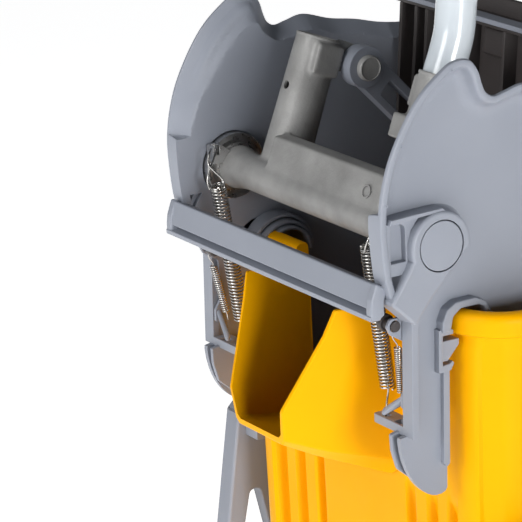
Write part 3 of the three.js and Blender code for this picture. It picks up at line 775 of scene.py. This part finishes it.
def side_plate():
    outline = [p for p in EDGE_LINE] + list(PLATE_END) + list(HOOK_INSIDE) + list(LEG)
    extra = []
    for (ay, az), (by, bz) in zip(EDGE_LINE, EDGE_LINE[1:]):
        length = math.hypot(by - ay, bz - az)
        if length < 1e-6:
            continue
        normal = ((bz - az) / length, -(by - ay) / length)
        for depth in (0.7, 2.0, 4.4, 5.6, 6.5, 7.4, 8.6, 10.4, 13.0, 17.0):
            for share in (0.0,) if length < 3.5 else (0.0, 0.34, 0.67):
                y = ay + (by - ay) * share + normal[0] * depth
                z = az + (bz - az) * share + normal[1] * depth
                if abs(distance_to(EDGE_LINE, y, z)[0] - depth) < 0.05:
                    extra.append((y, z))
    extra += FLARE
    extra += [(y, STEP_Z + dz) for y in range(-42, 100, 4) for dz in (-0.4, 0.4)]
    bore = circle(0, 0, 27, 64)
    keyhole = [(-39, -18.5), (-27.5, -18.5), (-36.5, -31)]
    return relief(outline, [bore, keyhole], extra, 4.0, plate_outer, plate_inner, "plate")


def arm_outline():
    """The boss and the arm that runs down from it: (y, z, reach at the plate, outward y, outward z)."""
    points = []
    for k in range(33):
        a = math.radians(-8 + (199 + 8) * k / 32)
        reach = 4.5 - 3.0 * ease(k, 6, 16)
        points.append((25.5 * math.cos(a), 25.5 * math.sin(a), reach))
    front = [(-25.4, -9), (-28, -14), (-32, -20), (-36, -26), (-40, -31.5), (-42.5, -35), (-42, -38)]
    points += [(y, z, 1.2) for y, z in front]
    points += [(-33, -46, 1.0), (-25.5, -53, 1.0), (-22, -55, 2)]
    rear = [(-16, -47), (-10, -39.5), (-4, -33), (3, -26.5), (10, -19), (17, -11.5)]
    points += [(y, z, 9.0) for y, z in rear]
    result = []
    count = len(points)
    for i, (y, z, reach) in enumerate(points):
        before, after = points[i - 1], points[(i + 1) % count]
        dy, dz = after[0] - before[0], after[1] - before[1]
        length = math.hypot(dy, dz)
        result.append((y, z, reach, dz / length, -dy / length))
    return result


def boss_and_arm():
    """A raised shell whose sides run softly down to the plate."""
    outline = arm_outline()
    profile = ((132.6, 1.0), (133.6, 1.0), (134.6, 0.62), (136.5, 0.34), (140, 0.12), (144, 0.0),
               (146.2, -0.05))
    loops = [[(x, y + ny * reach * share, z + nz * reach * share) for y, z, reach, ny, nz in outline]
             for x, share in profile]
    for x, inset in ((147.3, 0.6), (147.9, 1.6), (148.0, 2.6)):
        loops.append([(x, y - ny * inset, z - nz * inset) for y, z, reach, ny, nz in outline])
    shell = rings(loops, "arm")
    return cut(shell, rod((120, 0, 0), (160, 0, 0), 19.3, segments=80))


def plate_details():
    """Fin, bridge, leg channel, foot, rails, hook band, latch frame, catch and saddle arches."""
    parts = []
    fin = slab([(-44, 21.5), (-42, 25.5, 1), (-20, 26.6), (2, 27.2, 1), (5, 25), (-18, 23.6), (-42, 22)],
               133, 146.5)
    parts.append(soften(fin, 0.7))
    bridge = slab([(-45, 24), (-14, 24), (-22, 14), (-25, 4), (-25, -17.6), (-42, -17.6, 1)], 132.8, 141.6)
    pocket = slab([(-39.5, -8), (-26.5, -8), (-27.5, 20, 6), (-39.5, 20.5)], 136, 150)
    bridge = cut(bridge, pocket)
    parts.append(soften(bridge, 0.7))
    channel = slab([(-21.6, -54, 2), (-21.6, -143.6, 0.5), (-16, -143.6, 0.5), (-16, -58), (-14, -50)],
                   128.4, 141)
    parts.append(soften(channel, 2.0, 3))
    inner_foot = slab([(-23, -142), (-28.2, -143.5), (-27.4, -156, 6), (-22.8, -171, 6), (-12, -180, 4),
                       (2, -182, 4), (4, -142)], 119.8, 123.6)
    parts.append(soften(inner_foot, 0.8))
    parts.append(slab([(-17, -143), (-16, -166), (0, -172), (3, -143)], 123, 130))
    rail = slab([(8.4, -98), (13.9, -98), (13.9, -170, 1.2), (11, -172.4, 0.8), (8.4, -169)], 132.5, 137.6)
    parts.append(soften(rail, 0.9))
    c_frame = slab([(3.2, -66), (14, -67), (16, -67.4), (16, -71), (6.8, -71), (6.8, -93.4), (13.4, -92.8),
                    (15.4, -91, 1), (16.8, -93, 1), (14, -98, 1), (3.2, -99)], 131, 139.4)
    parts.append(soften(c_frame, 0.7))
    band = slab([(5, -68), (5, -60, 4), (9, -51, 4), (17, -46.6, 5), (34, -46.2, 5), (43, -50, 4),
                 (49.5, -61), (44, -60), (42, -54.5, 2), (37, -52, 2), (21, -52, 4), (14.4, -57, 4),
                 (12, -68)], 129, 142)
    parts.append(soften(band, 1.1, 3))
    for outer, inner, reach in ((29.5, 26.4, 114), (25.5, 22.4, 108), (21.6, 18.8, 103)):
        parts.append(soften(slab(arch(36, -73, outer, inner), reach, PLATE_IN + 1), 1.2, 3))
    catch = slab([(6, -75.5), (22, -75.5, 1), (22, -80, 1), (12, -91, 1), (6, -91)], PLATE_IN, 138)
    parts.append(soften(catch, 0.7))
    rear_rail = slab([(344, 72), (344, -44), (351.5, -46), (351.5, 73)], 132.5, 143.4)
    parts.append(soften(rear_rail, 1.2))
    window = slab([(6.8, -71), (20, -71), (20, -93.4), (6.8, -93.4)], 120, 160)
    return parts, window


def arch(y, z, outer, inner, steps=24):
    """The outline of a half ring that stands on its two feet."""
    turns = [math.pi * k / steps for k in range(steps + 1)]
    return ([(y + outer * math.cos(a), z + outer * math.sin(a)) for a in turns]
            + [(y + inner * math.cos(a), z + inner * math.sin(a)) for a in reversed(turns)])


def ejector_marks():
    marks = []
    for y, z in ((-31.5, 77), (12, 125.5), (-44.5, 36)):
        marks.append(ring(0.55, 1.25, (EDGE_OUT - 0.4, y, z), (EDGE_OUT + 0.25, y, z), 0.12, 20))
    return marks


plate = side_plate()
details, window = plate_details()
plate = cut(plate, window)
plate = joined("plate", [plate, boss_and_arm()] + details + ejector_marks())
place_pair(plate, "plate_shell_{side}", "frame", GREY, "{side}_side_plate", 38)


# ---------------------------------------------------------------- crossbar
def crossbar():
    section = [(-50.6, -21.7, 1.4), (-40, -25.7, 1), (-38, -29.7, 0.8), (-43.4, -31.7, 1), (-44, -41, 1),
               (-43.6, -45.4, 0.8), (-49, -48.8, 0.8), (-55.4, -48.6, 0.8), (-55.9, -44.8, 0.8),
               (-47.6, -43.6, 0.6), (-47.6, -41.6, 0.8), (-54.8, -40.1, 1)]
    bar = slab(section, -138.6, 138.6)
    return soften(bar, 0.8, 2, 50)


def crossbar_end():
    """The rounded lump that takes the tip of the side plate."""
    outline = ((-49.4, -23.4), (-52.8, -33), (-53.6, -40), (-53.4, -46.4), (-48, -47.2), (-43.4, -27))
    return rounded_hull([(x, y, z) for x in (133.6, 137.4) for y, z in outline], 1.8)


right_end = crossbar_end()
left_end = copy_of(right_end, "end", mirror=True)
place_piece(joined("bar", [crossbar(), right_end, left_end]), "crossbar_bar", "frame", GREY,
            ("front_crossbar",))


# ---------------------------------------------------------------- press axle, sockets and hubs
SOCKET_X = 80
SET_BACK = 12.8
LEAN = math.radians(19.7)


def along_socket(x, distance, forward=0.0):
    """A point on a handle socket's axis; forward moves it towards the front."""
    forward -= SET_BACK
    return (x, math.sin(LEAN) * distance - math.cos(LEAN) * forward,
            math.cos(LEAN) * distance + math.sin(LEAN) * forward)


def casting():
    """The press axle: a bar with two handle sockets, a web and two lugs, melted into one casting."""
    core = turned([(0, 16.6), (6, 16.8), (14, 15), (24, 14), (220, 14), (230, 15), (238, 16.8), (244, 16.6)],
                  (-122, 0, 0), (1, 0, 0), 56)
    parts = []
    for side in (1, -1):
        foot, top = along_socket(side * SOCKET_X, -2), along_socket(side * SOCKET_X, 114.5)
        parts.append(rod(foot, top, 19, 17.2, segments=56))
        low, high = sorted((side * 67.3, side * 74))
        parts.append(slab([(52, 104), (62, 101), (84, 92, 8), (90, 80, 8), (84, 70, 8), (62, 76), (46, 76),
                           (44, 96)],
                          low, high))
        parts.append(rounded_hull([along_socket(side * x, d, f) for x in (62, 72) for d in (88, 109)
                                   for f in (-12, 9)], 1.6))
    block = [along_socket(SOCKET_X, d, f) for d in (63, 79) for f in (12, 20.5)]
    parts.append(rounded_hull([(x + dx, y, z) for x, y, z in block for dx in (-16, 8)], 1.2))
    parts.append(slab([(-9, 10.5), (0.5, 35.5), (13, 35.5), (14, 6)], -68, 80))
    parts.append(slab([(-12, 5), (-8, 13), (12, 13), (13, 4)], -66, 66))
    body = union(core, *parts)
    melt = body.modifiers.new("melt", "REMESH")
    melt.mode = "VOXEL"
    melt.voxel_size = 1.3
    bake(body)
    relax = body.modifiers.new("relax", "SMOOTH")
    relax.factor = 0.5
    relax.iterations = 5
    bake(body)
    thin = body.modifiers.new("thin", "DECIMATE")
    thin.ratio = 0.4
    bake(body)
    for side in (1, -1):
        body = cut(body, rod(along_socket(side * SOCKET_X, 22), along_socket(side * SOCKET_X, 125), 15.4,
                             segments=64))
    hole = along_socket(-SOCKET_X, 72.5, 22)
    body = cut(body, rod(hole, along_socket(-SOCKET_X, 72.5, 6), 3.3, segments=24))
    lips = [ring(15.5, 17.6, along_socket(side * SOCKET_X, 112), along_socket(side * SOCKET_X, 114.4), 0.5)
            for side in (1, -1)]
    mark = ring(4.2, 5.0, (63, -5.4, 22), (63, -6.2, 22.3), 0.2, 40)
    return joined("casting", [body, *lips, mark])


def hub_disc():
    """A dished disc at the end of the axle; the slot for the spring's hook is cut in the lug beside it."""
    dish = turned([(0, 0), (0, 23.4), (0.7, 24.4), (-3.6, 25.0), (-4.2, 25.5), (-3.8, 26), (4, 26),
                   (5, 25.4), (5, 0)],
                  (126.6, 0, 0), (1, 0, 0), 80)
    return dish


def hub_lug():
    lug = slab([(-24, 6), (-24, 20, 2), (-16.5, 20.6, 2), (-8, 14), (-10, 6)], 117, 127)
    slot = slab([(-22.4, 13), (-18.6, 13), (-18.6, 22), (-22.4, 22)], 114, 124)
    return soften(cut(lug, slot), 0.8)


place_piece(casting(), "axle_casting", "handle", CAST, ("press_axle",), 45)
place_pair(joined("hub", [hub_disc(), hub_lug(), turned([(0, 0), (0, 20), (5, 18.8), (7, 0)],
                                                        (126.4, 0, 0), (-1, 0, 0), 56)]),
                                                        "hub_disc_{side}", "handle", STEEL,
           "{side}_hub_disc")
journal = turned([(0, 0), (0, 18.5), (15, 18.5), (15.8, 18.2), (16.1, 17.4), (16.1, 0)], (132, 0, 0),
                 (1, 0, 0), 80)
place_pair(journal, "axle_cap_{side}", "handle", GREY, "{side}_axle_journal")


# ---------------------------------------------------------------- handle
HANDLE_Y = 64
HANDLE_LINE = (along_socket(SOCKET_X, 24), along_socket(SOCKET_X, 50), along_socket(SOCKET_X, 76),
               along_socket(SOCKET_X, 100), along_socket(SOCKET_X, 116), (SOCKET_X, 56.5, 119),
               (SOCKET_X, 61, 134), (SOCKET_X, HANDLE_Y - 1, 152), (SOCKET_X, HANDLE_Y, 172),
               (SOCKET_X, HANDLE_Y, 225), (SOCKET_X, HANDLE_Y, 330), (SOCKET_X, HANDLE_Y, 470))
place_piece(tube(spline(HANDLE_LINE, 8), 15, 56), "handle_pipe", "handle", ENAMEL,
            ("handle_tube",))


def handle_grip():
    profile = [(0, 0), (0, 16.2), (1.2, 18.2), (4, 18.5)]
    for k in range(18):
        z = 8 + k * 5.6
        profile += [(z, 18.5), (z + 1.0, 17.6), (z + 2.2, 17.6), (z + 3.2, 18.5)]
    profile += [(116, 18.5), (121, 17.2), (123.4, 13.5), (124, 8), (124, 0)]
    return turned(profile, (SOCKET_X, HANDLE_Y, 352), (0, 0, 1), 56)


place_piece(handle_grip(), "grip_sleeve", "handle", GRIP, ("handle_grip",), 30)


# ---------------------------------------------------------------- links and jaw
LINK_CROWN = (76, 80)
LINK_END = (145, 10)
LINK_IN, LINK_OUT = 52.5, 66.5
LINK_MIDDLE = (LINK_IN + LINK_OUT) / 2


def capsule(start, end, radius_start, radius_end, steps=18):
    """The outline round two circles."""
    dy, dz = end[0] - start[0], end[1] - start[1]
    base = math.atan2(dz, dy)
    lean = math.acos((radius_start - radius_end) / math.hypot(dy, dz))
    points = []
    for centre, radius, first, last in ((start, radius_start, base + lean, base + 2 * math.pi - lean),
                                        (end, radius_end, base - lean, base + lean)):
        for k in range(steps + 1):
            a = first + (last - first) * k / steps
            points.append((centre[0] + radius * math.cos(a), centre[1] + radius * math.sin(a)))
    return points


def link_arm():
    py, pz = LINK_CROWN
    ey, ez = LINK_END
    web = slab(capsule(LINK_CROWN, LINK_END, 13.5, 12.5), LINK_IN + 1.5, LINK_OUT - 0.5)
    window = slab([(py + 13, pz - 23, 2), (ey - 22, ez + 13, 3), (ey - 12, ez + 23, 3),
                   (py + 22, pz - 14, 2)],
                  LINK_IN - 4, LINK_OUT + 4)
    web = soften(cut(web, window), 1.0)
    hub = turned([(0, 0), (0, 15.4), (0.4, 16.2), (1.2, 16.5), (13, 16.5), (13.7, 16), (14, 15), (14, 0)],
                 (LINK_IN, py, pz), (1, 0, 0), 64)
    foot = turned([(0, 0), (0, 12), (1, 13), (13, 13), (14, 12), (14, 0)], (LINK_IN, ey, ez), (1, 0, 0), 48)
    return joined("link", [web, hub, foot])


def link_pin():
    py, pz = LINK_CROWN
    head = turned([(0, 0), (0, 10), (3.2, 10), (4.2, 9.6), (4.7, 8.8), (4.1, 8.2), (4.1, 0)],
                  (LINK_IN - 0.3, py, pz), (-1, 0, 0), 56)
    shank = rod((LINK_IN - 1, py, pz), (LINK_OUT + 7, py, pz), 5.8, round_edge=0.6)
    return joined("pin", [head, shank])


place_pair(link_arm(), "link_arm_{side}", "press_links", GREY, "{side}_link_arm")
place_pair(link_pin(), "link_pin_{side}", "handle", CAST, "{side}_link_pin")
link_rod = rod((-74, *LINK_END), (74, *LINK_END), 6, round_edge=1)
place_piece(link_rod, "link_rod_bar", "press_links", STEEL, ("link_rod",))

JAW_HINGE = (150, -160)
JAW_TOP = (170, 115)
JAW_HALF = 126


def moving_jaw():
    hy, hz = JAW_HINGE
    ty, tz = JAW_TOP
    ey, ez = LINK_END
    panel_part = slab([(hy - 3, hz), (ty - 3, tz - 2), (ty + 3, tz - 2), (hy + 3, hz)], -JAW_HALF, JAW_HALF)
    top = slab([(ty - 16, tz - 6, 1), (ty - 16, tz, 1.2), (ty + 7, tz, 2), (ty + 7, tz - 10, 1),
                (ty + 1, tz - 10), (ty, tz - 6)], -JAW_HALF, JAW_HALF)
    back = slab([(ty + 1, tz - 4), (ty + 3, tz + 13, 1.6), (ty + 7.6, tz + 13, 1.6), (ty + 7, tz - 8)],
                -JAW_HALF, JAW_HALF)
    jaw = union(soften(panel_part, 0.6), soften(top, 0.6), soften(back, 0.5),
                rod((-JAW_HALF, hy, hz), (JAW_HALF, hy, hz), 13))
    for x in (-118, -98, -84, -30, 16, 84, 98, 118):
        rib = slab([(hy, hz + 8), (hy - 10, hz + 20, 4), (ty - 16, tz - 6), (ty, tz - 6)], x - 1.7, x + 1.7)
        jaw = union(jaw, soften(rib, 0.5))
    for x in (-LINK_MIDDLE, LINK_MIDDLE):
        for ear in (-11, 11):
            lug = slab([(ey + 16, ez + 26), (ey - 8, ez + 17, 6), (ey - 16, ez, 8), (ey - 8, ez - 18, 6),
                        (ey + 14, ez - 26)], x + ear - 2.8, x + ear + 2.8)
            jaw = union(jaw, soften(lug, 0.6))
    for x in (-LINK_MIDDLE, LINK_MIDDLE):
        jaw = cut(jaw, box(x - 7.5, x + 7.5, ey - 5, ey + 32, ez - 22, ez + 20))
    corners = ((163.5, 104), (161, 88), (168, 98))
    relief_panel = rounded_hull([(x, y, z) for x in (-16, 10) for y, z in corners], 2.5)
    jaw = union(jaw, relief_panel)
    return cut(jaw, rod((-80, ey, ez), (80, ey, ez), 11.5), rod((-130, hy, hz), (130, hy, hz), 6.3))


def jaw_top_painted_highlight():
    """A lighter grey strip along the jaw's top edge: a painted highlight where light catches the edge."""
    ty, tz = JAW_TOP
    return soften(slab([(ty - 17.4, tz - 3, 1), (ty - 17.4, tz + 1, 1), (ty - 5, tz + 1), (ty - 5, tz + 0.1),
                        (ty - 16.1, tz + 0.1), (ty - 16.1, tz - 3)], -JAW_HALF, JAW_HALF), 0.25)


# the jaw's dark brown-black colour carries painted shade of the cavity as well as the plastic's own colour
place_piece(moving_jaw(), "jaw_grate", "jaw", DARK_PLASTIC_AND_SHADE, ("moving_jaw",))
# painted highlight: a grey strip stands in for light along the dark jaw's top edge
place_piece(jaw_top_painted_highlight(), "jaw_top_painted_highlight_strip", "jaw", GREY, ("moving_jaw",))
hinge = rod((-PLATE_IN + 0.4, *JAW_HINGE), (PLATE_IN - 0.4, *JAW_HINGE), 6, round_edge=0.6)
place_piece(hinge, "jaw_hinge_bar", "frame", STEEL, ("jaw_hinge_rod",))


# ---------------------------------------------------------------- rear plate and strainer
def rear_plate():
    (y0, z0), (y1, z1) = (180, -168), (322, 70)
    half = PLATE_IN - 0.3
    sheet = soften(slab([(y0, z0), (y1, z1, 2), (y1 + 14, z1, 2), (y1 + 14, z1 - 6, 1), (y1 + 4, z1 - 6),
                         (y0 + 8, z0)],
                        -half, half), 0.7)
    lean = math.atan2(z1 - z0, y1 - y0)
    holes = []
    for row in range(5):
        share = 0.12 + 0.74 * row / 4
        y, z = y0 + (y1 - y0) * share, z0 + (z1 - z0) * share
        for column in range(7):
            x = -102 + 34 * column
            reach = Vector((0, -math.sin(lean), math.cos(lean))) * 14
            centre = Vector((x, y, z))
            holes.append(rod(centre - reach, centre + reach, 5, segments=28))
    return cut(sheet, joined("holes", holes))


def strainer():
    half = PLATE_IN - 0.3
    floor_sheet = soften(slab([(62, -182), (198, -182), (166, -174.5), (62, -174.5)], -half, half), 0.6)
    slots = [soften(box(x - 4, x + 4, y0, y1, -190, -168), 1.5) for x in range(-104, 105, 26)
             for y0, y1 in ((78, 96), (126, 146))]
    return cut(floor_sheet, joined("slots", slots))


place_piece(rear_plate(), "rear_plate_sheet", "frame", GREY, ("rear_press_plate",))
place_piece(strainer(), "strainer_sheet", "frame", GREY, ("strainer_floor",))


# ---------------------------------------------------------------- springs
def coil(start, end, radius, turns, per_turn=14):
    """Points of a helix between two places."""
    start, end = Vector(start), Vector(end)
    u, v = across(end - start)
    steps = int(turns * per_turn)
    return [start.lerp(end, k / steps) + (u * math.cos(a) + v * math.sin(a)) * radius
            for k in range(steps + 1) for a in (2 * math.pi * turns * k / steps,)]


def return_spring():
    """The right spring: an open coil, a straight wire to the anchor and two crossing hooks to the hub."""
    top, foot = Vector((100.8, -30.6, -8)), Vector((98.5, -13.4, -117))
    wire = 0.78
    parts = [tube(coil(top, foot, 5.6, 42), wire, 8)]
    pin = [(98.5, -13.8, -113), (98.4, -13, -119), (98.6, -14.6, -128), (99.6, -16.2, -136),
           (99.8, -16.3, -141)]
    parts.append(tube(spline(pin, 5), wire, 8))
    hooks = (((104, -36, -9), (106.5, -36.5, -3), (108, -34, 4), (111, -28.5, 11), (116, -22.4, 17),
              (118.5, -20.5, 18.5)),
             ((98, -27, -8), (100, -27.5, -1), (105, -31.5, 5), (108.5, -34, 10), (112, -31, 17),
              (116, -27, 19)))
    parts += [tube(spline(hook, 6), wire * 1.15, 8) for hook in hooks]
    loop = coil((100.8, -31, -7.6), (100.8, -31.6, -5.6), 5.0, 1.6)
    parts.append(tube(loop, wire, 8))
    return joined("spring", parts)


def latch_spring():
    top, foot = Vector((124.3, -22.5, -77.4)), Vector((117.9, -15.5, -115))
    wire = 0.52
    parts = [tube(coil(top, foot, 2.6, 22, 12), wire, 6)]
    parts.append(tube(spline([(118, -15.6, -114), (117.6, -15.2, -117), (116.8, -15, -121)], 4), wire, 6))
    parts.append(tube(spline([(124.3, -22.6, -78), (124.2, -23, -75), (124, -26, -70.6), (123.8, -27, -67),
                              (123.8, -24.6, -66)], 4), wire, 6))
    return joined("spring", parts)


def place_blend(obj, name, material, node):
    """A pair of springs, set in the row frame without a body to ride on."""
    twin = copy_of(obj, "twin", mirror=True)
    for (side, sign), piece in zip(SIDES, (obj, twin)):
        smooth(piece, 60)
        piece.name = name.format(side=side)
        piece.data.name = piece.name
        piece.data.transform(Matrix.Translation(AXLE) @ Matrix.Scale(MM, 4))
        piece.data.materials.append(material)
        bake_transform(piece)
        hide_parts(node.format(side=side))


place_blend(return_spring(), "return_spring_{side}", SPRING, "{side}_return_spring")
place_blend(latch_spring(), "latch_spring_{side}", SPRING, "{side}_latch_spring")


# ---------------------------------------------------------------- latches and anchors
def spring_anchor():
    shelf = plan([(90.5, -21.5, 3), (PLATE_IN - 0.3, -21.5), (PLATE_IN - 0.3, -7), (90.5, -7, 3)], -143.6,
                 -137)
    shelf = cut(shelf, box(97, 103, -18.8, -13.4, -150, -130), box(114.5, 122.5, -19.5, -13, -150, -130))
    return soften(shelf, 1.2, 3)


def latch_lever():
    """The rocking latch: a crank whose nose moves behind the plate, and a sloping finger bar."""
    crank = slab([(-34, -60, 3), (-31, -54, 3), (-23, -54, 3), (-18, -60, 2), (-11, -75.5, 3),
                  (22, -75.5, 1), (22, -80, 1), (12, -91, 1), (-4, -91, 4), (-6, -108, 3), (-13, -124, 2),
                  (-21, -124, 2), (-21, -114, 3), (-15, -104, 4), (-17.5, -74, 3), (-31, -66, 3)], 124.8,
                  127.6)
    crank = soften(cut(crank, rod((120, -27, -60), (130, -27, -60), 4.3, segments=32)), 0.5)
    finger = rounded_hull([(107, -21.6, -130), (106.4, -22.4, -132.2), (125, -18, -116.4),
                           (125, -16, -118.4)], 2.0)
    return joined("latch", [crank, finger])


def latch_pivot():
    head = turned([(0, 0), (0, 5.2), (0.6, 6.1), (1.6, 6.5), (5.2, 6.5), (6, 6), (6, 4), (16.7, 4),
                   (16.7, 0)],
                  (112, -27, -60), (1, 0, 0), 40)
    return head


place_pair(spring_anchor(), "anchor_bracket_{side}", "frame", GREY, "{side}_spring_anchor")
place_pair(latch_lever(), "latch_crank_{side}", "{side}_latch", GREY, "{side}_latch_lever")
place_pair(latch_pivot(), "latch_pin_{side}", "frame", DARK_PLASTIC_AND_SHADE, "{side}_latch_pivot")


# ---------------------------------------------------------------- outriggers, casters and wheels
CASTER_X = 172
CASTER_Y = {"front": 66, "rear": 456}
FLOOR = -AXLE.z / MM
WHEEL_RADIUS = 38
CASTER_TRAIL = 26
FOOT_IN = TUB_HALF * TUB_DRAFT + 1


def rail(pair, low=182, high=196, radius=2.4):
    """A rolled edge between two (y, z) places."""
    return rounded_hull([(x, y, z) for x in (low, high) for y, z in pair], radius)


def outrigger():
    """The front right foot: an arched web with rolled edges, a shelf with a stem bore and two wall pads."""
    web = slab([(33, -230, 6), (40, -219, 6), (58, -219, 6), (66, -230, 6), (95, -374), (95, -381),
                (12, -381), (12, -374)], 180, 189)
    opening = slab([(42, -296, 7), (51, -296, 7), (66, -356, 5), (30, -356, 5)], 170, 200)
    parts = [soften(cut(web, opening), 1.6, 3)]
    edge = [(34, -228), (40.5, -221.5), (57, -221.5), (64.5, -229), (92, -370)]
    parts += [rail(pair) for pair in (((34, -228), (14.5, -376)), *zip(edge, edge[1:]))]
    parts += [rail(((40, -298), (27, -358)), 183, 191, 1.6), rail(((53, -298), (68, -358)), 183, 191, 1.6)]
    shelf = plan([(FOOT_IN, 14, 2), (203.6, 14, 14), (203.6, 96, 14), (FOOT_IN, 96, 2)], -381.8, -372.6)
    parts.append(soften(shelf, 1.8, 3))
    for depth, low, high in ((66, -367, -352), (40, -246, -226)):
        corners = [(y, z) for y in (depth, depth + 16) for z in (low, high)]
        near = TUB_HALF * (TUB_DRAFT + (1 - TUB_DRAFT) * (high - TUB_FOOT) / (TUB_TOP - TUB_FOOT)) + 1.6
        parts.append(rounded_hull([(x, y, z) for x in (near, 182) for y, z in corners], 1.2))
    bore = rod((CASTER_X, CASTER_Y["front"], -395), (CASTER_X, CASTER_Y["front"], -350), 9.2, segments=40)
    return cut(union(*parts), bore)


def swapped_ends(obj, name):
    """A copy with front and rear swapped about the tub's middle."""
    twin = copy_of(obj, name)
    twin.data.transform(Matrix.Translation((0, 2 * TUB_MIDDLE, 0)) @ Matrix.Scale(-1, 4, (0, 1, 0)))
    twin.data.flip_normals()
    return twin


front_foot = outrigger()
rear_foot = swapped_ends(front_foot, "rear_foot")
for end, foot in (("front", front_foot), ("rear", rear_foot)):
    place_pair(foot, f"{end}_foot_{{side}}", "frame", GREY, f"{{side}}_{end}_outrigger")


def caster_fork():
    """A pressed fork about its own stem, the wheel trailing towards +Y; z is measured from the floor."""
    side = [(-20, 88, 3), (20, 88, 3), (20, 75, 5), (CASTER_TRAIL + 9, 37, 7), (CASTER_TRAIL, 28.6, 7),
            (CASTER_TRAIL - 9, 37, 7), (-20, 75, 6)]
    cheeks = [soften(slab(side, low, low + 3.6), 0.7) for low in (14.4, -18)]
    crown = soften(plan([(-18, -20, 7), (18, -20, 7), (18, 20, 7), (-18, 20, 7)], 83.6, 87.6), 0.8)
    fork = union(crown, *cheeks)
    race = turned([(0, 0), (0, 15), (1, 17.4), (3.6, 17.8), (6, 16), (7.6, 13), (8, 9), (8, 8.9),
                   (17.6, 8.9), (18.4, 8), (18.4, 0)], (0, 0, 86.2), (0, 0, 1), 48)
    return cut(union(fork, race), rod((-20, CASTER_TRAIL, WHEEL_RADIUS), (20, CASTER_TRAIL, WHEEL_RADIUS),
                                      4.3, segments=32))


def caster_wheel():
    """A grey tyre on a recessed hub."""
    profile = [(-11, 4.3), (-11, 12.6), (-10, 14), (-6.6, 15.2), (-6.2, 17), (-6, 26), (-6.8, 27.4),
               (-11.4, 28), (-12.6, 29), (-12.9, 31), (-12.6, 34.5), (-11, 36.6), (-7, 37.8),
               (-3, WHEEL_RADIUS)]
    profile += [(-x, radius) for x, radius in reversed(profile)]
    turns = [2 * math.pi * i / 64 for i in range(64)]
    loops = [[(x, radius * math.cos(a), radius * math.sin(a)) for a in turns]
             for x, radius in profile]
    wheel = rings(loops, "wheel", closed=True)
    wheel.data.transform(Matrix.Translation((0, CASTER_TRAIL, WHEEL_RADIUS)))
    return wheel


def wheel_axle():
    return turned([(0, 0), (0, 5.6), (1.6, 6.4), (2, 4), (37.4, 4), (37.8, 6.4), (39.4, 5.6), (39.4, 0)],
                  (-19.7, CASTER_TRAIL, WHEEL_RADIUS), (1, 0, 0), 32)


def place_caster(end, side, sign):
    corner = f"{end}_{side}"
    turn = Matrix.Rotation(math.pi if end == "rear" else 0, 4, "Z")
    spot = Matrix.Translation((sign * CASTER_X, CASTER_Y[end], FLOOR)) @ turn
    for build, name, body, slot, material, node in (
            (caster_fork, "fork", "caster", "steel", STEEL, "caster_fork"),
            (caster_wheel, "tyre", "wheel", "wheel_rubber", TREAD, "wheel"),
            (wheel_axle, "axle_pin", "wheel", "steel", STEEL, "wheel_axle")):
        obj = build()
        obj.data.transform(spot)
        place_piece(obj, f"{corner}_{name}", f"{corner}_{body}", material, (f"{corner}_{node}",))


for end in CASTER_Y:
    for side, sign in SIDES:
        place_caster(end, side, sign)
